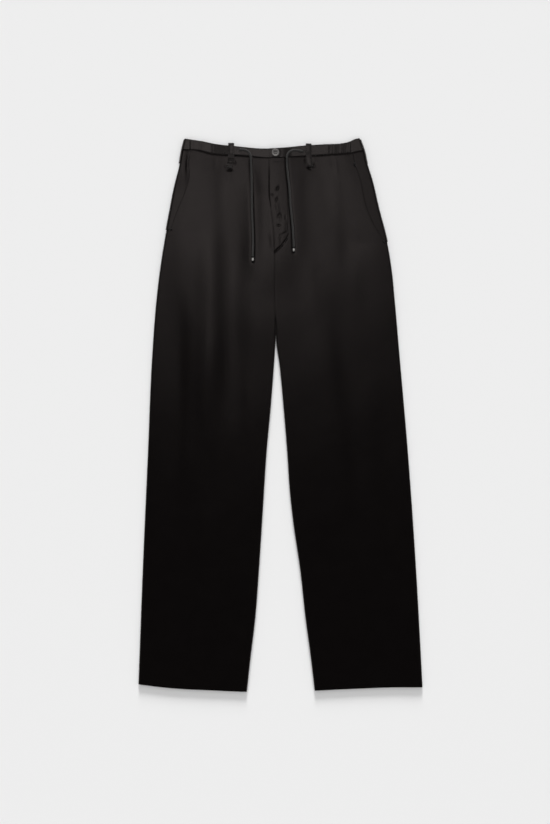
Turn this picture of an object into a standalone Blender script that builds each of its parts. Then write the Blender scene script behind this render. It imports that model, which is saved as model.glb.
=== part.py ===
"""Full-length trousers with wide legs and a drawcord, lying flat with the front up.

Sizes are in metres. +Y points to the waist, +Z up from the surface, and +X to the wearer's left leg.
"Down" is a distance below the top of the waist, along -Y. Each leg is a flattened tube: its back lies
on the surface, its front lies on the back, and both roll to meet halfway up at the two side folds.
"""

import math

import bmesh
import bpy
import numpy as np

# Driving sizes
LENGTH = 1.1062
CLOTH = 0.0012
BAND = 0.0020
LOOP = 0.0014
GAP = 0.0003

# Heights of the middle of each wall where it has no fold
BACK_LEVEL = CLOTH / 2
FRONT_LEVEL = 0.0046
BAND_BACK_LEVEL = BAND / 2
BAND_LEVEL = 0.0050

# The rolled side folds: how wide a roll is, and the height where front and back meet
ROLL = 0.0025
ROLL_STEPS = 3
CLOTH_MEET = (FRONT_LEVEL + CLOTH / 2) / 2
BAND_MEET = (BAND_LEVEL + BAND / 2) / 2

# Side folds and inseams. Columns: down, x
SIDE_RIGHT = (
    (0.000, -0.1912),
    (0.023, -0.1968),
    (0.050, -0.2012),
    (0.083, -0.2090),
    (0.143, -0.2206),
    (0.203, -0.2316),
    (0.263, -0.2410),
    (0.323, -0.2480),
    (0.443, -0.2570),
    (0.623, -0.2648),
    (0.863, -0.2754),
    (1.092, -0.2840),
)
SIDE_LEFT = (
    (0.000, 0.1582),
    (0.023, 0.1664),
    (0.050, 0.1722),
    (0.083, 0.1824),
    (0.143, 0.1966),
    (0.203, 0.2122),
    (0.263, 0.2224),
    (0.323, 0.2284),
    (0.443, 0.2388),
    (0.623, 0.2544),
    (0.863, 0.2712),
    (1.097, 0.2840),
)
INSEAM_RIGHT = (
    (0.385, -0.0090),
    (0.443, -0.0124),
    (0.533, -0.0190),
    (0.623, -0.0272),
    (0.743, -0.0350),
    (0.863, -0.0428),
    (0.953, -0.0496),
    (1.043, -0.0602),
    (1.106, -0.0670),
)
INSEAM_LEFT = (
    (0.385, -0.0090),
    (0.413, -0.0078),
    (0.443, -0.0034),
    (0.533, 0.0054),
    (0.623, 0.0128),
    (0.713, 0.0190),
    (0.773, 0.0260),
    (0.863, 0.0392),
    (0.953, 0.0490),
    (1.043, 0.0610),
    (1.104, 0.0680),
)
CROTCH_DOWN = 0.385
CROTCH_ROLL_START = 0.352
CROTCH_ROLL_END = 0.398
CENTRE_BACK = -0.0090

# The fly's free edge, then the centre front seam. Columns: down, x
CENTRE_FRONT = (
    (0.030, -0.0210),
    (0.083, -0.0218),
    (0.112, -0.0214),
    (0.126, -0.0202),
    (0.151, -0.0174),
    (0.190, -0.0130),
    (0.228, -0.0112),
    (0.303, -0.0114),
    (0.385, -0.0090),
)
FLY_UNDERLAP = 0.012
FLY_END = 0.212
FLY_WIDTH = 0.036

# Waist and hem lines, from the wearer's right to the left. Columns: x, down
WAIST_TOP = (
    (-0.193, 0.0010),
    (-0.181, 0.0026),
    (-0.157, 0.0062),
    (-0.133, 0.0112),
    (-0.085, 0.0166),
    (-0.037, 0.0208),
    (-0.007, 0.0200),
    (0.047, 0.0150),
    (0.095, 0.0120),
    (0.119, 0.0110),
    (0.133, 0.0086),
    (0.153, 0.0010),
    (0.165, 0.0000),
)
WAIST_SEAM = (
    (-0.198, 0.0222),
    (-0.161, 0.0252),
    (-0.141, 0.0306),
    (-0.121, 0.0328),
    (-0.073, 0.0352),
    (-0.029, 0.0392),
    (0.017, 0.0376),
    (0.085, 0.0340),
    (0.119, 0.0318),
    (0.141, 0.0296),
    (0.155, 0.0262),
    (0.170, 0.0245),
)
WAIST_SEAM_BACK = (
    (-0.198, 0.0222),
    (-0.110, 0.0325),
    (-0.020, 0.0375),
    (0.075, 0.0340),
    (0.170, 0.0245),
)
HEM = (
    (-0.284, 1.0912),
    (-0.241, 1.0968),
    (-0.193, 1.1008),
    (-0.145, 1.1030),
    (-0.067, 1.1062),
    (0.068, 1.1040),
    (0.119, 1.1014),
    (0.167, 1.0994),
    (0.215, 1.0976),
    (0.284, 1.0972),
)
WAIST_LEVEL = 0.032
WAIST_BLEND = 0.10
HEM_LEVEL = 1.100
HEM_BLEND = 0.15

BAND_SHARES = np.linspace(0, 1, 3)

# Slanted pocket openings. Columns: down, x
POCKET_RIGHT = (
    (0.0222, -0.1805),
    (0.0546, -0.1830),
    (0.0724, -0.1814),
    (0.1032, -0.1890),
    (0.1432, -0.2050),
    (0.1850, -0.2202),
)
POCKET_LEFT = (
    (0.0240, 0.1430),
    (0.0546, 0.1494),
    (0.0796, 0.1582),
    (0.1296, 0.1690),
    (0.1636, 0.1816),
    (0.2092, 0.2092),
)
POCKET_TUCK = 0.008
POCKET_SPREAD = 0.026
OVERLAY = CLOTH + GAP + 0.0001

# Seams between the plain and the gathered stretches of the band, and its overlap at the centre
BAND_SEAM_RIGHT = -0.1030
BAND_SEAM_LEFT = 0.0970
BAND_END_RIGHT = -0.1810
BAND_END_LEFT = 0.1405
BAND_EDGE = -0.0210
BAND_UNDERLAP = 0.012
BAND_OVERLAY = BAND + GAP + 0.0001
BAND_STEP_START = 0.002
BAND_STEP_END = 0.024
GATHERS_RIGHT = (-0.167, -0.107, 12)
GATHERS_LEFT = (0.099, 0.139, 8)
GATHER_HEIGHT = 0.0006

# Soft folds of the front. Columns: top x, top down, bottom x, bottom down, half width, height
FOLDS = (
    (-0.151, 0.060, -0.157, 0.530, 0.018, 0.0022),
    (-0.124, 0.120, -0.116, 0.440, 0.014, -0.0012),
    (-0.197, 0.250, -0.199, 0.740, 0.014, -0.0012),
    (-0.222, 0.300, -0.229, 0.700, 0.014, 0.0012),
    (-0.088, 0.330, -0.096, 0.640, 0.020, 0.0010),
    (-0.150, 0.600, -0.168, 1.040, 0.026, 0.0016),
    (-0.100, 0.640, -0.112, 1.000, 0.014, -0.0010),
    (0.090, 0.120, 0.116, 0.600, 0.018, 0.0020),
    (0.112, 0.300, 0.137, 0.760, 0.014, -0.0012),
    (0.159, 0.250, 0.163, 0.390, 0.014, -0.0010),
    (0.186, 0.330, 0.200, 0.620, 0.018, 0.0014),
    (0.160, 0.640, 0.178, 1.040, 0.026, 0.0016),
    (0.118, 0.800, 0.126, 1.060, 0.016, -0.0010),
)

# Belt loops at the front. Columns: down, x, height of the middle of the strip
LOOP_WIDTH = 0.0115
LOOP_DROOP = 0.0003
LOOP_FRONT_RIGHT = (
    (0.0100, -0.0985, 0.0070),
    (0.0160, -0.0985, 0.0071),
    (0.0250, -0.0986, 0.0072),
    (0.0335, -0.0986, 0.0080),
    (0.0375, -0.0984, 0.0099),
    (0.0402, -0.0986, 0.0102),
    (0.0425, -0.0992, 0.0086),
    (0.0440, -0.0998, 0.0073),
    (0.0465, -0.1005, 0.0081),
    (0.0495, -0.1011, 0.0076),
    (0.0540, -0.1016, 0.0074),
    (0.0582, -0.1018, 0.0082),
)
LOOP_FRONT_LEFT = (
    (0.0112, 0.0560, 0.0070),
    (0.0180, 0.0562, 0.0071),
    (0.0270, 0.0564, 0.0073),
    (0.0350, 0.0567, 0.0082),
    (0.0420, 0.0573, 0.0086),
    (0.0480, 0.0581, 0.0080),
    (0.0525, 0.0591, 0.0075),
    (0.0556, 0.0603, 0.0080),
    (0.0580, 0.0617, 0.0090),
)
SIDE_LOOP_TOP = 0.0030
SIDE_LOOP_END_RIGHT = 0.0505
SIDE_LOOP_END_LEFT = 0.0515
SIDE_LOOP_FLARE = 0.0007
SIDE_LOOP_LOW = math.radians(-30)
SIDE_LOOP_HIGH = math.radians(62)

# Button on the band
BUTTON_PLACE = (-0.0100, 0.5237)
BUTTON_RADIUS = 0.0075
BUTTON_THICK = 0.0028
BUTTON_HOLE_RADIUS = 0.0009
BUTTON_HOLE_OFFSET = 0.0019

# Drawcords: each free end's route from the band to its metal tip. Columns: x, y, z
CORD_DIAMETER = 0.0048
CORD_POINT_STEP = 0.010
CORD_RIGHT = (
    (-0.0820, 0.5301, 0.0088),
    (-0.0760, 0.5297, 0.0089),
    (-0.0698, 0.5286, 0.0089),
    (-0.0646, 0.5259, 0.0089),
    (-0.0610, 0.5211, 0.0089),
    (-0.0595, 0.5147, 0.0087),
    (-0.0588, 0.5039, 0.0082),
    (-0.0582, 0.4899, 0.0080),
    (-0.0578, 0.4739, 0.0080),
    (-0.0574, 0.4579, 0.0080),
    (-0.0572, 0.4379, 0.0080),
    (-0.0570, 0.4179, 0.0080),
    (-0.0564, 0.3959, 0.0080),
    (-0.0556, 0.3739, 0.0080),
    (-0.0550, 0.3559, 0.0080),
    (-0.0548, 0.3379, 0.0081),
    (-0.0552, 0.3259, 0.0083),
    (-0.0554, 0.3162, 0.0084),
)
CORD_LEFT = (
    (0.0450, 0.5267, 0.0088),
    (0.0370, 0.5279, 0.0089),
    (0.0300, 0.5286, 0.0090),
    (0.0234, 0.5279, 0.0096),
    (0.0178, 0.5251, 0.0103),
    (0.0142, 0.5199, 0.0106),
    (0.0128, 0.5127, 0.0102),
    (0.0128, 0.5039, 0.0090),
    (0.0133, 0.4939, 0.0085),
    (0.0150, 0.4759, 0.0081),
    (0.0174, 0.4557, 0.0080),
    (0.0190, 0.4359, 0.0080),
    (0.0202, 0.4163, 0.0080),
    (0.0220, 0.3989, 0.0080),
    (0.0236, 0.3823, 0.0080),
    (0.0248, 0.3679, 0.0080),
    (0.0256, 0.3539, 0.0081),
    (0.0262, 0.3432, 0.0083),
    (0.0264, 0.3352, 0.0084),
)
TIP_LENGTH = 0.0114
TIP_RADIUS = 0.0028
TIP_RECESS_RADIUS = 0.0017
TIP_RECESS = 0.0020


def make_material(name, colour, roughness, metallic=0.0):
    made = bpy.data.materials.new(name)
    made.use_nodes = True
    shader = made.node_tree.nodes["Principled BSDF"]
    shader.inputs["Base Color"].default_value = (*colour, 1.0)
    shader.inputs["Roughness"].default_value = roughness
    shader.inputs["Metallic"].default_value = metallic
    return made


def along(table, place):
    """The table's second column at a place in its first, on a smooth curve through its rows."""
    keys, values = np.array(table, float).T
    slopes = np.gradient(values, keys)
    place = np.clip(place, keys[0], keys[-1])
    low = np.clip(np.searchsorted(keys, place) - 1, 0, len(keys) - 2)
    span = keys[low + 1] - keys[low]
    t = (place - keys[low]) / span
    start = values[low] * (1 + 2 * t) * (1 - t) ** 2 + slopes[low] * span * t * (1 - t) ** 2
    end = values[low + 1] * t**2 * (3 - 2 * t) + slopes[low + 1] * span * t**2 * (t - 1)
    return start + end


def ease(low, high, value):
    """0 below low, 1 above high, and a smooth step between them."""
    t = np.clip((value - low) / (high - low), 0, 1)
    return t * t * (3 - 2 * t)


def folds_at(x, down):
    """Height that the soft folds add to the front here."""
    total = 0.0
    for top_x, top_down, bottom_x, bottom_down, half_width, height in FOLDS:
        t = (down - top_down) / (bottom_down - top_down)
        middle = top_x + (bottom_x - top_x) * t
        fade = ease(0, 0.35, t) * (1 - ease(0.6, 1, t))
        total += height * fade * math.exp(-(((x - middle) / half_width) ** 2))
    return total


def cloth_down(x, level, seam=WAIST_SEAM):
    """Down of the row at this level: rows bend to the waist seam at the top and to the hem below."""
    waist = (along(seam, x) - WAIST_LEVEL) * (1 - ease(WAIST_LEVEL, WAIST_LEVEL + WAIST_BLEND, level))
    hem = (along(HEM, x) - HEM_LEVEL) * ease(HEM_LEVEL - HEM_BLEND, HEM_LEVEL, level)
    return level + waist + hem


def cloth_down_back(x, level):
    return cloth_down(x, level, WAIST_SEAM_BACK)


def band_down(x, share, seam=WAIST_SEAM):
    """Down of a line along the band, from its top edge at share 0 to its seam at share 1."""
    top = along(WAIST_TOP, x)
    return top + share * (along(seam, x) - GAP - top)


def band_down_back(x, share):
    return band_down(x, share, WAIST_SEAM_BACK)


def side_right(down):
    return along(SIDE_RIGHT, down)


def side_left(down):
    return along(SIDE_LEFT, down)


def crotch_roll(down):
    return ease(CROTCH_ROLL_START, CROTCH_ROLL_END, down)


def front_right_outer(down):
    return along(POCKET_RIGHT, down) if down <= POCKET_RIGHT[-1][0] else side_right(down)


def front_left_outer(down):
    return along(POCKET_LEFT, down) if down <= POCKET_LEFT[-1][0] else side_left(down)


def front_right_inner(down):
    if down > CROTCH_DOWN:
        return along(INSEAM_RIGHT, down) - GAP / 2
    underlap = FLY_UNDERLAP - (FLY_UNDERLAP + GAP) * ease(FLY_END - 0.05, FLY_END, down)
    return along(CENTRE_FRONT, down) + underlap


def front_left_inner(down):
    if down > CROTCH_DOWN:
        return along(INSEAM_LEFT, down) + GAP / 2
    return along(CENTRE_FRONT, down)


def back_right_inner(down):
    edge = along(INSEAM_RIGHT, down) if down > CROTCH_DOWN else CENTRE_BACK
    return edge - GAP / 2


def back_left_inner(down):
    edge = along(INSEAM_LEFT, down) if down > CROTCH_DOWN else CENTRE_BACK
    return edge + GAP / 2


def front_right_height(x, down):
    """The front lies over the pocket's side piece near the opening, and eases down inside it."""
    inside = along(POCKET_RIGHT, down) + POCKET_TUCK + 0.004
    over_pocket = 1 - ease(inside, inside + POCKET_SPREAD, x)
    end = POCKET_RIGHT[-1][0]
    return FRONT_LEVEL + folds_at(x, down) + OVERLAY * over_pocket * (1 - ease(end, end + 0.03, down))


def front_left_height(x, down):
    """As on the other side, and raised over the underlap of the fly."""
    inside = along(POCKET_LEFT, down) - POCKET_TUCK - 0.004
    end = POCKET_LEFT[-1][0]
    over_pocket = ease(inside - POCKET_SPREAD, inside, x) * (1 - ease(end, end + 0.03, down))
    edge = along(CENTRE_FRONT, down)
    over_fly = 1 - ease(edge + FLY_WIDTH / 2, edge + FLY_WIDTH, x)
    over_fly *= 1 - ease(FLY_END + 0.012, FLY_END + 0.04, down)
    return FRONT_LEVEL + folds_at(x, down) + OVERLAY * max(over_pocket, over_fly)


def level_height(level):
    return lambda x, down: level


def edge_of(side, row_down, level):
    """Where a side line crosses a row: the row's bend moves the crossing a little."""
    x = side(level)
    for _ in range(3):
        x = side(row_down(x, level))
    return x


def panel(levels, row_down, left, right, height, columns, thickness, rim, roll_left, roll_right, roll=ROLL):
    """Points of the middle of a wall, row by row from the waist, each from -X to +X.

    roll_left and roll_right say how far each side rolls over, from 0, flat, to 1, down to the rim's height.
    """
    grid = []
    for level in levels:
        x_left = edge_of(left, row_down, level)
        x_right = edge_of(right, row_down, level)
        turn_left = roll_left(row_down(x_left, level))
        turn_right = roll_right(row_down(x_right, level))
        start = x_left + turn_left * thickness / 2 + roll
        end = x_right - turn_right * thickness / 2 - roll
        rolled = []
        for step in range(ROLL_STEPS):
            share = step / ROLL_STEPS
            angle = math.pi / 2 * (1 - share)
            for turn, inner, way in ((turn_left, start, -1), (turn_right, end, 1)):
                out = roll * ((1 - turn) * (1 - share) + turn * math.sin(angle))
                z = height(inner, row_down(inner, level))
                rolled.append((inner + way * out, z + turn * (1 - math.cos(angle)) * (rim - z)))
        flat = [(x, height(x, row_down(x, level))) for x in np.linspace(start, end, columns)]
        row = rolled[0::2] + flat + rolled[1::2][::-1]
        grid.append([(x, LENGTH / 2 - row_down(x, level), z) for x, z in row])
    return np.array(grid)


def wall(name, points, thickness, material, lift=0.0):
    """A closed wall round a grid of middle points. lift raises the outer points only."""
    across = np.gradient(points, axis=1, edge_order=2)
    lengthways = np.gradient(points, axis=0)
    normals = np.cross(lengthways, across)
    normals /= np.linalg.norm(normals, axis=2, keepdims=True)
    outer = points + normals * (thickness / 2 + np.broadcast_to(lift, points.shape[:2])[..., None])
    inner = points - normals * thickness / 2
    rows, columns = points.shape[:2]
    mesh = bmesh.new()
    grids = [[[mesh.verts.new(p) for p in row] for row in side] for side in (outer, inner)]
    for r in range(rows - 1):
        for c in range(columns - 1):
            for side, vertices in enumerate(grids):
                corners = [vertices[r][c], vertices[r + 1][c], vertices[r + 1][c + 1], vertices[r][c + 1]]
                mesh.faces.new(corners[::-1] if side else corners)
    border = [(0, c) for c in range(columns)] + [(r, columns - 1) for r in range(1, rows)]
    border += [(rows - 1, c) for c in range(columns - 2, -1, -1)] + [(r, 0) for r in range(rows - 2, 0, -1)]
    for (r, c), (next_r, next_c) in zip(border, border[1:] + border[:1]):
        mesh.faces.new(
            (grids[0][r][c], grids[0][next_r][next_c], grids[1][next_r][next_c], grids[1][r][c])
        )
    return finish(name, mesh, material)


def finish(name, mesh, material):
    """Makes an object of a bmesh, shaded smooth but for its sharp edges."""
    data = bpy.data.meshes.new(name)
    mesh.to_mesh(data)
    mesh.free()
    data.materials.append(material)
    data.shade_smooth()
    data.set_sharp_from_angle(angle=math.radians(50))
    made = bpy.data.objects.new(name, data)
    bpy.context.scene.collection.objects.link(made)
    return made


def front_rows(pocket_end):
    """Levels of a front's rows, closer at the pocket and the crotch, with two at the pocket's end."""
    levels = list(np.linspace(WAIST_LEVEL, pocket_end - 0.0005, 8)) + [pocket_end + 0.003]
    levels += [level for level in np.linspace(0.215, 0.335, 4) if level > levels[-1] + 0.012]
    levels += list(np.linspace(CROTCH_ROLL_START, CROTCH_ROLL_END, 5))
    levels += list(np.linspace(0.430, HEM_LEVEL - 0.03, 10))
    return levels + [HEM_LEVEL]


def back_rows():
    levels = [WAIST_LEVEL, SIDE_LEFT[2][0]] + list(np.linspace(0.090, 0.318, 5))
    levels += list(np.linspace(CROTCH_ROLL_START, CROTCH_ROLL_END, 3))
    return levels + list(np.linspace(0.443, HEM_LEVEL, 7))


def no_roll(down):
    return 0.0


def full_roll(down):
    return 1.0


def front_roll(pocket):
    """The front's outer side is flat along the pocket's opening, and rolls over below it."""
    return lambda down: float(down > pocket[-1][0])


def make_legs(material):
    front_columns = 17
    back_columns = 9
    for name, pocket, left, right, height, roll_left, roll_right in (
        (
            "front_right",
            POCKET_RIGHT,
            front_right_outer,
            front_right_inner,
            front_right_height,
            front_roll(POCKET_RIGHT),
            crotch_roll,
        ),
        (
            "front_left",
            POCKET_LEFT,
            front_left_inner,
            front_left_outer,
            front_left_height,
            crotch_roll,
            front_roll(POCKET_LEFT),
        ),
    ):
        rim = CLOTH_MEET + GAP / 2
        levels = front_rows(pocket[-1][0])
        points = panel(
            levels, cloth_down, left, right, height, front_columns, CLOTH, rim, roll_left, roll_right
        )
        wall(name, points, CLOTH, material)
    for name, left, right, roll_left, roll_right in (
        ("back_right", side_right, back_right_inner, full_roll, crotch_roll),
        ("back_left", back_left_inner, side_left, crotch_roll, full_roll),
    ):
        rim = CLOTH_MEET - GAP / 2
        height = level_height(BACK_LEVEL)
        points = panel(
            back_rows(), cloth_down_back, left, right, height, back_columns, CLOTH, rim, roll_left, roll_right
        )
        wall(name, points, CLOTH, material)


def make_pocket_sides(material):
    """The strips that show beside the slanted openings. Their inner edges are tucked under the fronts."""
    rim = CLOTH_MEET + GAP / 2
    columns = 4
    height = level_height(FRONT_LEVEL)
    end_right = POCKET_RIGHT[-1][0] - 0.0012
    points = panel(
        np.linspace(WAIST_LEVEL, end_right, 7),
        cloth_down,
        side_right,
        lambda down: along(POCKET_RIGHT, down) + POCKET_TUCK,
        height,
        columns,
        CLOTH,
        rim,
        full_roll,
        no_roll,
    )
    wall("pocket_side_right", points, CLOTH, material)
    end_left = POCKET_LEFT[-1][0] - 0.0012
    points = panel(
        np.linspace(WAIST_LEVEL, end_left, 7),
        cloth_down,
        lambda down: along(POCKET_LEFT, down) - POCKET_TUCK,
        side_left,
        height,
        columns,
        CLOTH,
        rim,
        no_roll,
        full_roll,
    )
    wall("pocket_side_left", points, CLOTH, material)


def gather_lift(points, gathers):
    """Waves raised in the outer points between two places along the band, four points to a wave."""
    start, end, count = gathers
    share = (points[:, :, 0] - start) / (end - start)
    inside = ease(-0.02, 0.06, share) * (1 - ease(0.94, 1.02, share))
    return GATHER_HEIGHT * inside * np.sin(2 * math.pi * count * share)


def place(x):
    """An edge that stays at one x."""
    return lambda down: x


def band_left_height(x, down):
    """The wearer's left half of the band laps over the right half at the centre."""
    return BAND_LEVEL + BAND_OVERLAY * (1 - ease(BAND_STEP_START, BAND_STEP_END, x))


def make_band(material):
    """The band's plain and gathered stretches at the front, then its back."""
    plain = level_height(BAND_LEVEL)
    half = GAP / 2
    for name, left, right, height, columns, gathers in (
        ("band_side_right", BAND_END_RIGHT + half, BAND_SEAM_RIGHT - half, plain, 58, GATHERS_RIGHT),
        ("band_front_right", BAND_SEAM_RIGHT + half, BAND_EDGE + BAND_UNDERLAP, plain, 8, None),
        ("band_front_left", BAND_EDGE, BAND_SEAM_LEFT - half, band_left_height, 13, None),
        ("band_side_left", BAND_SEAM_LEFT + half, BAND_END_LEFT - half, plain, 38, GATHERS_LEFT),
    ):
        points = panel(
            BAND_SHARES,
            band_down,
            place(left),
            place(right),
            height,
            columns,
            BAND,
            BAND_MEET,
            no_roll,
            no_roll,
        )
        lift = gather_lift(points, gathers) if gathers else 0.0
        wall(name, points, BAND, material, lift)
    wall("band_back", band_back_points(), BAND, material)


def band_back_points():
    """The back of the band lies flat and wraps both side folds to the seams at the front."""
    radius = (BAND_LEVEL - BAND_BACK_LEVEL) / 2
    inset = radius + BAND / 2
    turn = np.linspace(0, math.pi, 7)
    grid = []
    for share in BAND_SHARES:
        x_right = edge_of(side_right, band_down, share) + inset
        x_left = edge_of(side_left, band_down, share) - inset
        row = [(x, BAND_LEVEL, 0.0) for x in np.linspace(BAND_END_RIGHT - GAP / 2, x_right, 3)[:-1]]
        row += [(x_right - radius * math.sin(a), BAND_MEET + radius * math.cos(a), a / math.pi) for a in turn]
        row += [(x, BAND_BACK_LEVEL, 1.0) for x in np.linspace(x_right, x_left, 18)[1:-1]]
        row += [
            (x_left + radius * math.sin(a), BAND_MEET + radius * math.cos(a), a / math.pi)
            for a in turn[::-1]
        ]
        row += [(x, BAND_LEVEL, 0.0) for x in np.linspace(x_left, BAND_END_LEFT + GAP / 2, 3)[1:]]
        grid.append(
            [
                (x, LENGTH / 2 - (1 - under) * band_down(x, share) - under * band_down_back(x, share), z)
                for x, z, under in row
            ]
        )
    return np.array(grid)


def make_front_loops(material):
    """Strips longer than the band, fixed above it and below it, that buckle where they have spare length."""
    across = np.linspace(-0.5, 0.5, 5) * LOOP_WIDTH
    droop = LOOP_DROOP * np.array((1.0, 0.0, 0.0, 0.0, 1.0))
    for name, rows in (("belt_loop_front_right", LOOP_FRONT_RIGHT), ("belt_loop_front_left", LOOP_FRONT_LEFT)):
        points = [
            [(x + side, LENGTH / 2 - down, z - drop) for side, drop in zip(across, droop)]
            for down, x, z in rows
        ]
        wall(name, np.array(points), LOOP, material)


def make_side_loops(material):
    """Strips folded round the side folds, standing just outside the band. The half under the edge isn't made."""
    clear = BAND / 2 + GAP + LOOP / 2
    radius = (BAND_LEVEL - BAND_BACK_LEVEL) / 2
    angles = np.linspace(SIDE_LOOP_LOW, SIDE_LOOP_HIGH, 5)
    for name, side, way, end in (
        ("belt_loop_side_right", side_right, -1, SIDE_LOOP_END_RIGHT),
        ("belt_loop_side_left", side_left, 1, SIDE_LOOP_END_LEFT),
    ):
        grid = []
        for down in np.linspace(SIDE_LOOP_TOP, end, 6):
            middle = side(down) - way * (radius + BAND / 2)
            reach = radius + clear + SIDE_LOOP_FLARE * ease(SIDE_LOOP_TOP, 0.8 * end, down)
            row = [
                (
                    middle + way * reach * math.cos(a),
                    LENGTH / 2 - down,
                    BAND_MEET + reach * math.sin(a),
                )
                for a in angles[::-way]
            ]
            grid.append(row)
        wall(name, np.array(grid), LOOP, material)


def turned(name, profile, segments, material):
    """A solid turned about Z from a profile of (radius, z) whose two ends lie on the axis."""
    mesh = bmesh.new()
    rings = []
    for radius, z in profile:
        if radius == 0:
            rings.append([mesh.verts.new((0, 0, z))])
            continue
        angles = [2 * math.pi * i / segments for i in range(segments)]
        rings.append([mesh.verts.new((radius * math.cos(a), radius * math.sin(a), z)) for a in angles])
    for low, high in zip(rings, rings[1:]):
        for i in range(segments):
            j = (i + 1) % segments
            corners = [low[i % len(low)], low[j % len(low)], high[j % len(high)], high[i % len(high)]]
            mesh.faces.new(list(dict.fromkeys(corners)))
    return finish(name, mesh, material)


def make_button(material):
    """A round four-hole button with a raised rim, on the band's overlap."""
    base = BAND_LEVEL + BAND_OVERLAY + BAND / 2 + GAP
    radius = BUTTON_RADIUS
    profile = (
        (0, 0),
        (radius * 0.72, 0),
        (radius * 0.93, BUTTON_THICK * 0.25),
        (radius, BUTTON_THICK * 0.55),
        (radius * 0.97, BUTTON_THICK * 0.85),
        (radius * 0.88, BUTTON_THICK),
        (radius * 0.76, BUTTON_THICK * 0.92),
        (radius * 0.66, BUTTON_THICK * 0.62),
        (0, BUTTON_THICK * 0.55),
    )
    button = turned("button", profile, 24, material)
    button.location = (*BUTTON_PLACE, base)
    cutter_mesh = bmesh.new()
    for x in (-BUTTON_HOLE_OFFSET, BUTTON_HOLE_OFFSET):
        for y in (-BUTTON_HOLE_OFFSET, BUTTON_HOLE_OFFSET):
            hole = bmesh.ops.create_cone(
                cutter_mesh,
                cap_ends=True,
                segments=10,
                radius1=BUTTON_HOLE_RADIUS,
                radius2=BUTTON_HOLE_RADIUS,
                depth=4 * BUTTON_THICK,
            )
            bmesh.ops.translate(cutter_mesh, verts=hole["verts"], vec=(x, y, 0))
    cutter = finish("button_hole_cutter", cutter_mesh, material)
    cutter.location = button.location
    cutter.hide_render = True
    cutter.display_type = "WIRE"
    cut = button.modifiers.new("thread holes", "BOOLEAN")
    cut.operation = "DIFFERENCE"
    cut.object = cutter


def smooth_route(points, step):
    """Points a step apart on a smooth curve through a route's points."""
    points = np.array(points, float)
    travelled = np.concatenate([[0], np.cumsum(np.linalg.norm(np.diff(points, axis=0), axis=1))])
    count = max(2, round(travelled[-1] / step) + 1)
    places = np.linspace(0, travelled[-1], count)
    return np.stack([along(np.stack([travelled, column], axis=1), places) for column in points.T], axis=1)


def make_cord(name, route, material):
    data = bpy.data.curves.new(name, "CURVE")
    data.dimensions = "3D"
    data.bevel_depth = CORD_DIAMETER / 2
    data.bevel_resolution = 2
    data.use_fill_caps = True
    points = smooth_route(route, CORD_POINT_STEP)
    spline = data.splines.new("POLY")
    spline.points.add(len(points) - 1)
    for point, place in zip(spline.points, points):
        point.co = (*place, 1.0)
    data.materials.append(material)
    made = bpy.data.objects.new(name, data)
    bpy.context.scene.collection.objects.link(made)


def make_tip(name, route, material):
    """A metal barrel on the cord's end, with a recess in its far end."""
    profile = (
        (0, 0),
        (TIP_RADIUS * 0.86, 0),
        (TIP_RADIUS, 0.0005),
        (TIP_RADIUS, TIP_LENGTH * 0.68),
        (TIP_RADIUS * 0.9, TIP_LENGTH * 0.74),
        (TIP_RADIUS, TIP_LENGTH * 0.80),
        (TIP_RADIUS * 0.96, TIP_LENGTH * 0.96),
        (TIP_RADIUS * 0.82, TIP_LENGTH),
        (TIP_RECESS_RADIUS, TIP_LENGTH * 0.97),
        (TIP_RECESS_RADIUS, TIP_LENGTH - TIP_RECESS),
        (0, TIP_LENGTH - TIP_RECESS),
    )
    tip = turned(name, profile, 12, material)
    x, y, z = route[-1]
    tip.location = (x, y - GAP, z)
    tip.rotation_euler = (math.pi / 2, 0, 0)


def main():
    for old in list(bpy.data.objects):
        bpy.data.objects.remove(old)
    cloth = make_material("black_satin_cloth", (0.014, 0.012, 0.011), 0.45)
    band = make_material("black_band_cloth", (0.016, 0.014, 0.013), 0.5)
    cord = make_material("drawcord_yarn", (0.030, 0.028, 0.027), 0.7)
    metal = make_material("tip_metal", (0.55, 0.53, 0.50), 0.3, 1.0)
    horn = make_material("button_grey", (0.10, 0.095, 0.09), 0.3)
    make_legs(cloth)
    make_pocket_sides(cloth)
    make_band(band)
    make_front_loops(band)
    make_side_loops(band)
    make_button(horn)
    for side, route in (("right", CORD_RIGHT), ("left", CORD_LEFT)):
        make_cord(f"drawcord_{side}", route, cord)
        make_tip(f"cord_tip_{side}", route, metal)


main()
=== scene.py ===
"""The looks of full-length trousers with wide legs and a drawcord, lying flat with the front up.

Sizes are in metres, in the model's frame: +Y points to the waist, +Z up from the surface, and +X to
the wearer's left leg. "Down" is a distance below the top of the waist, along -Y. Each cloth piece is a
thin closed shell on its solid's form, with finer folds, gathers, seams and rolled edges.
"""

import math

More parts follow.
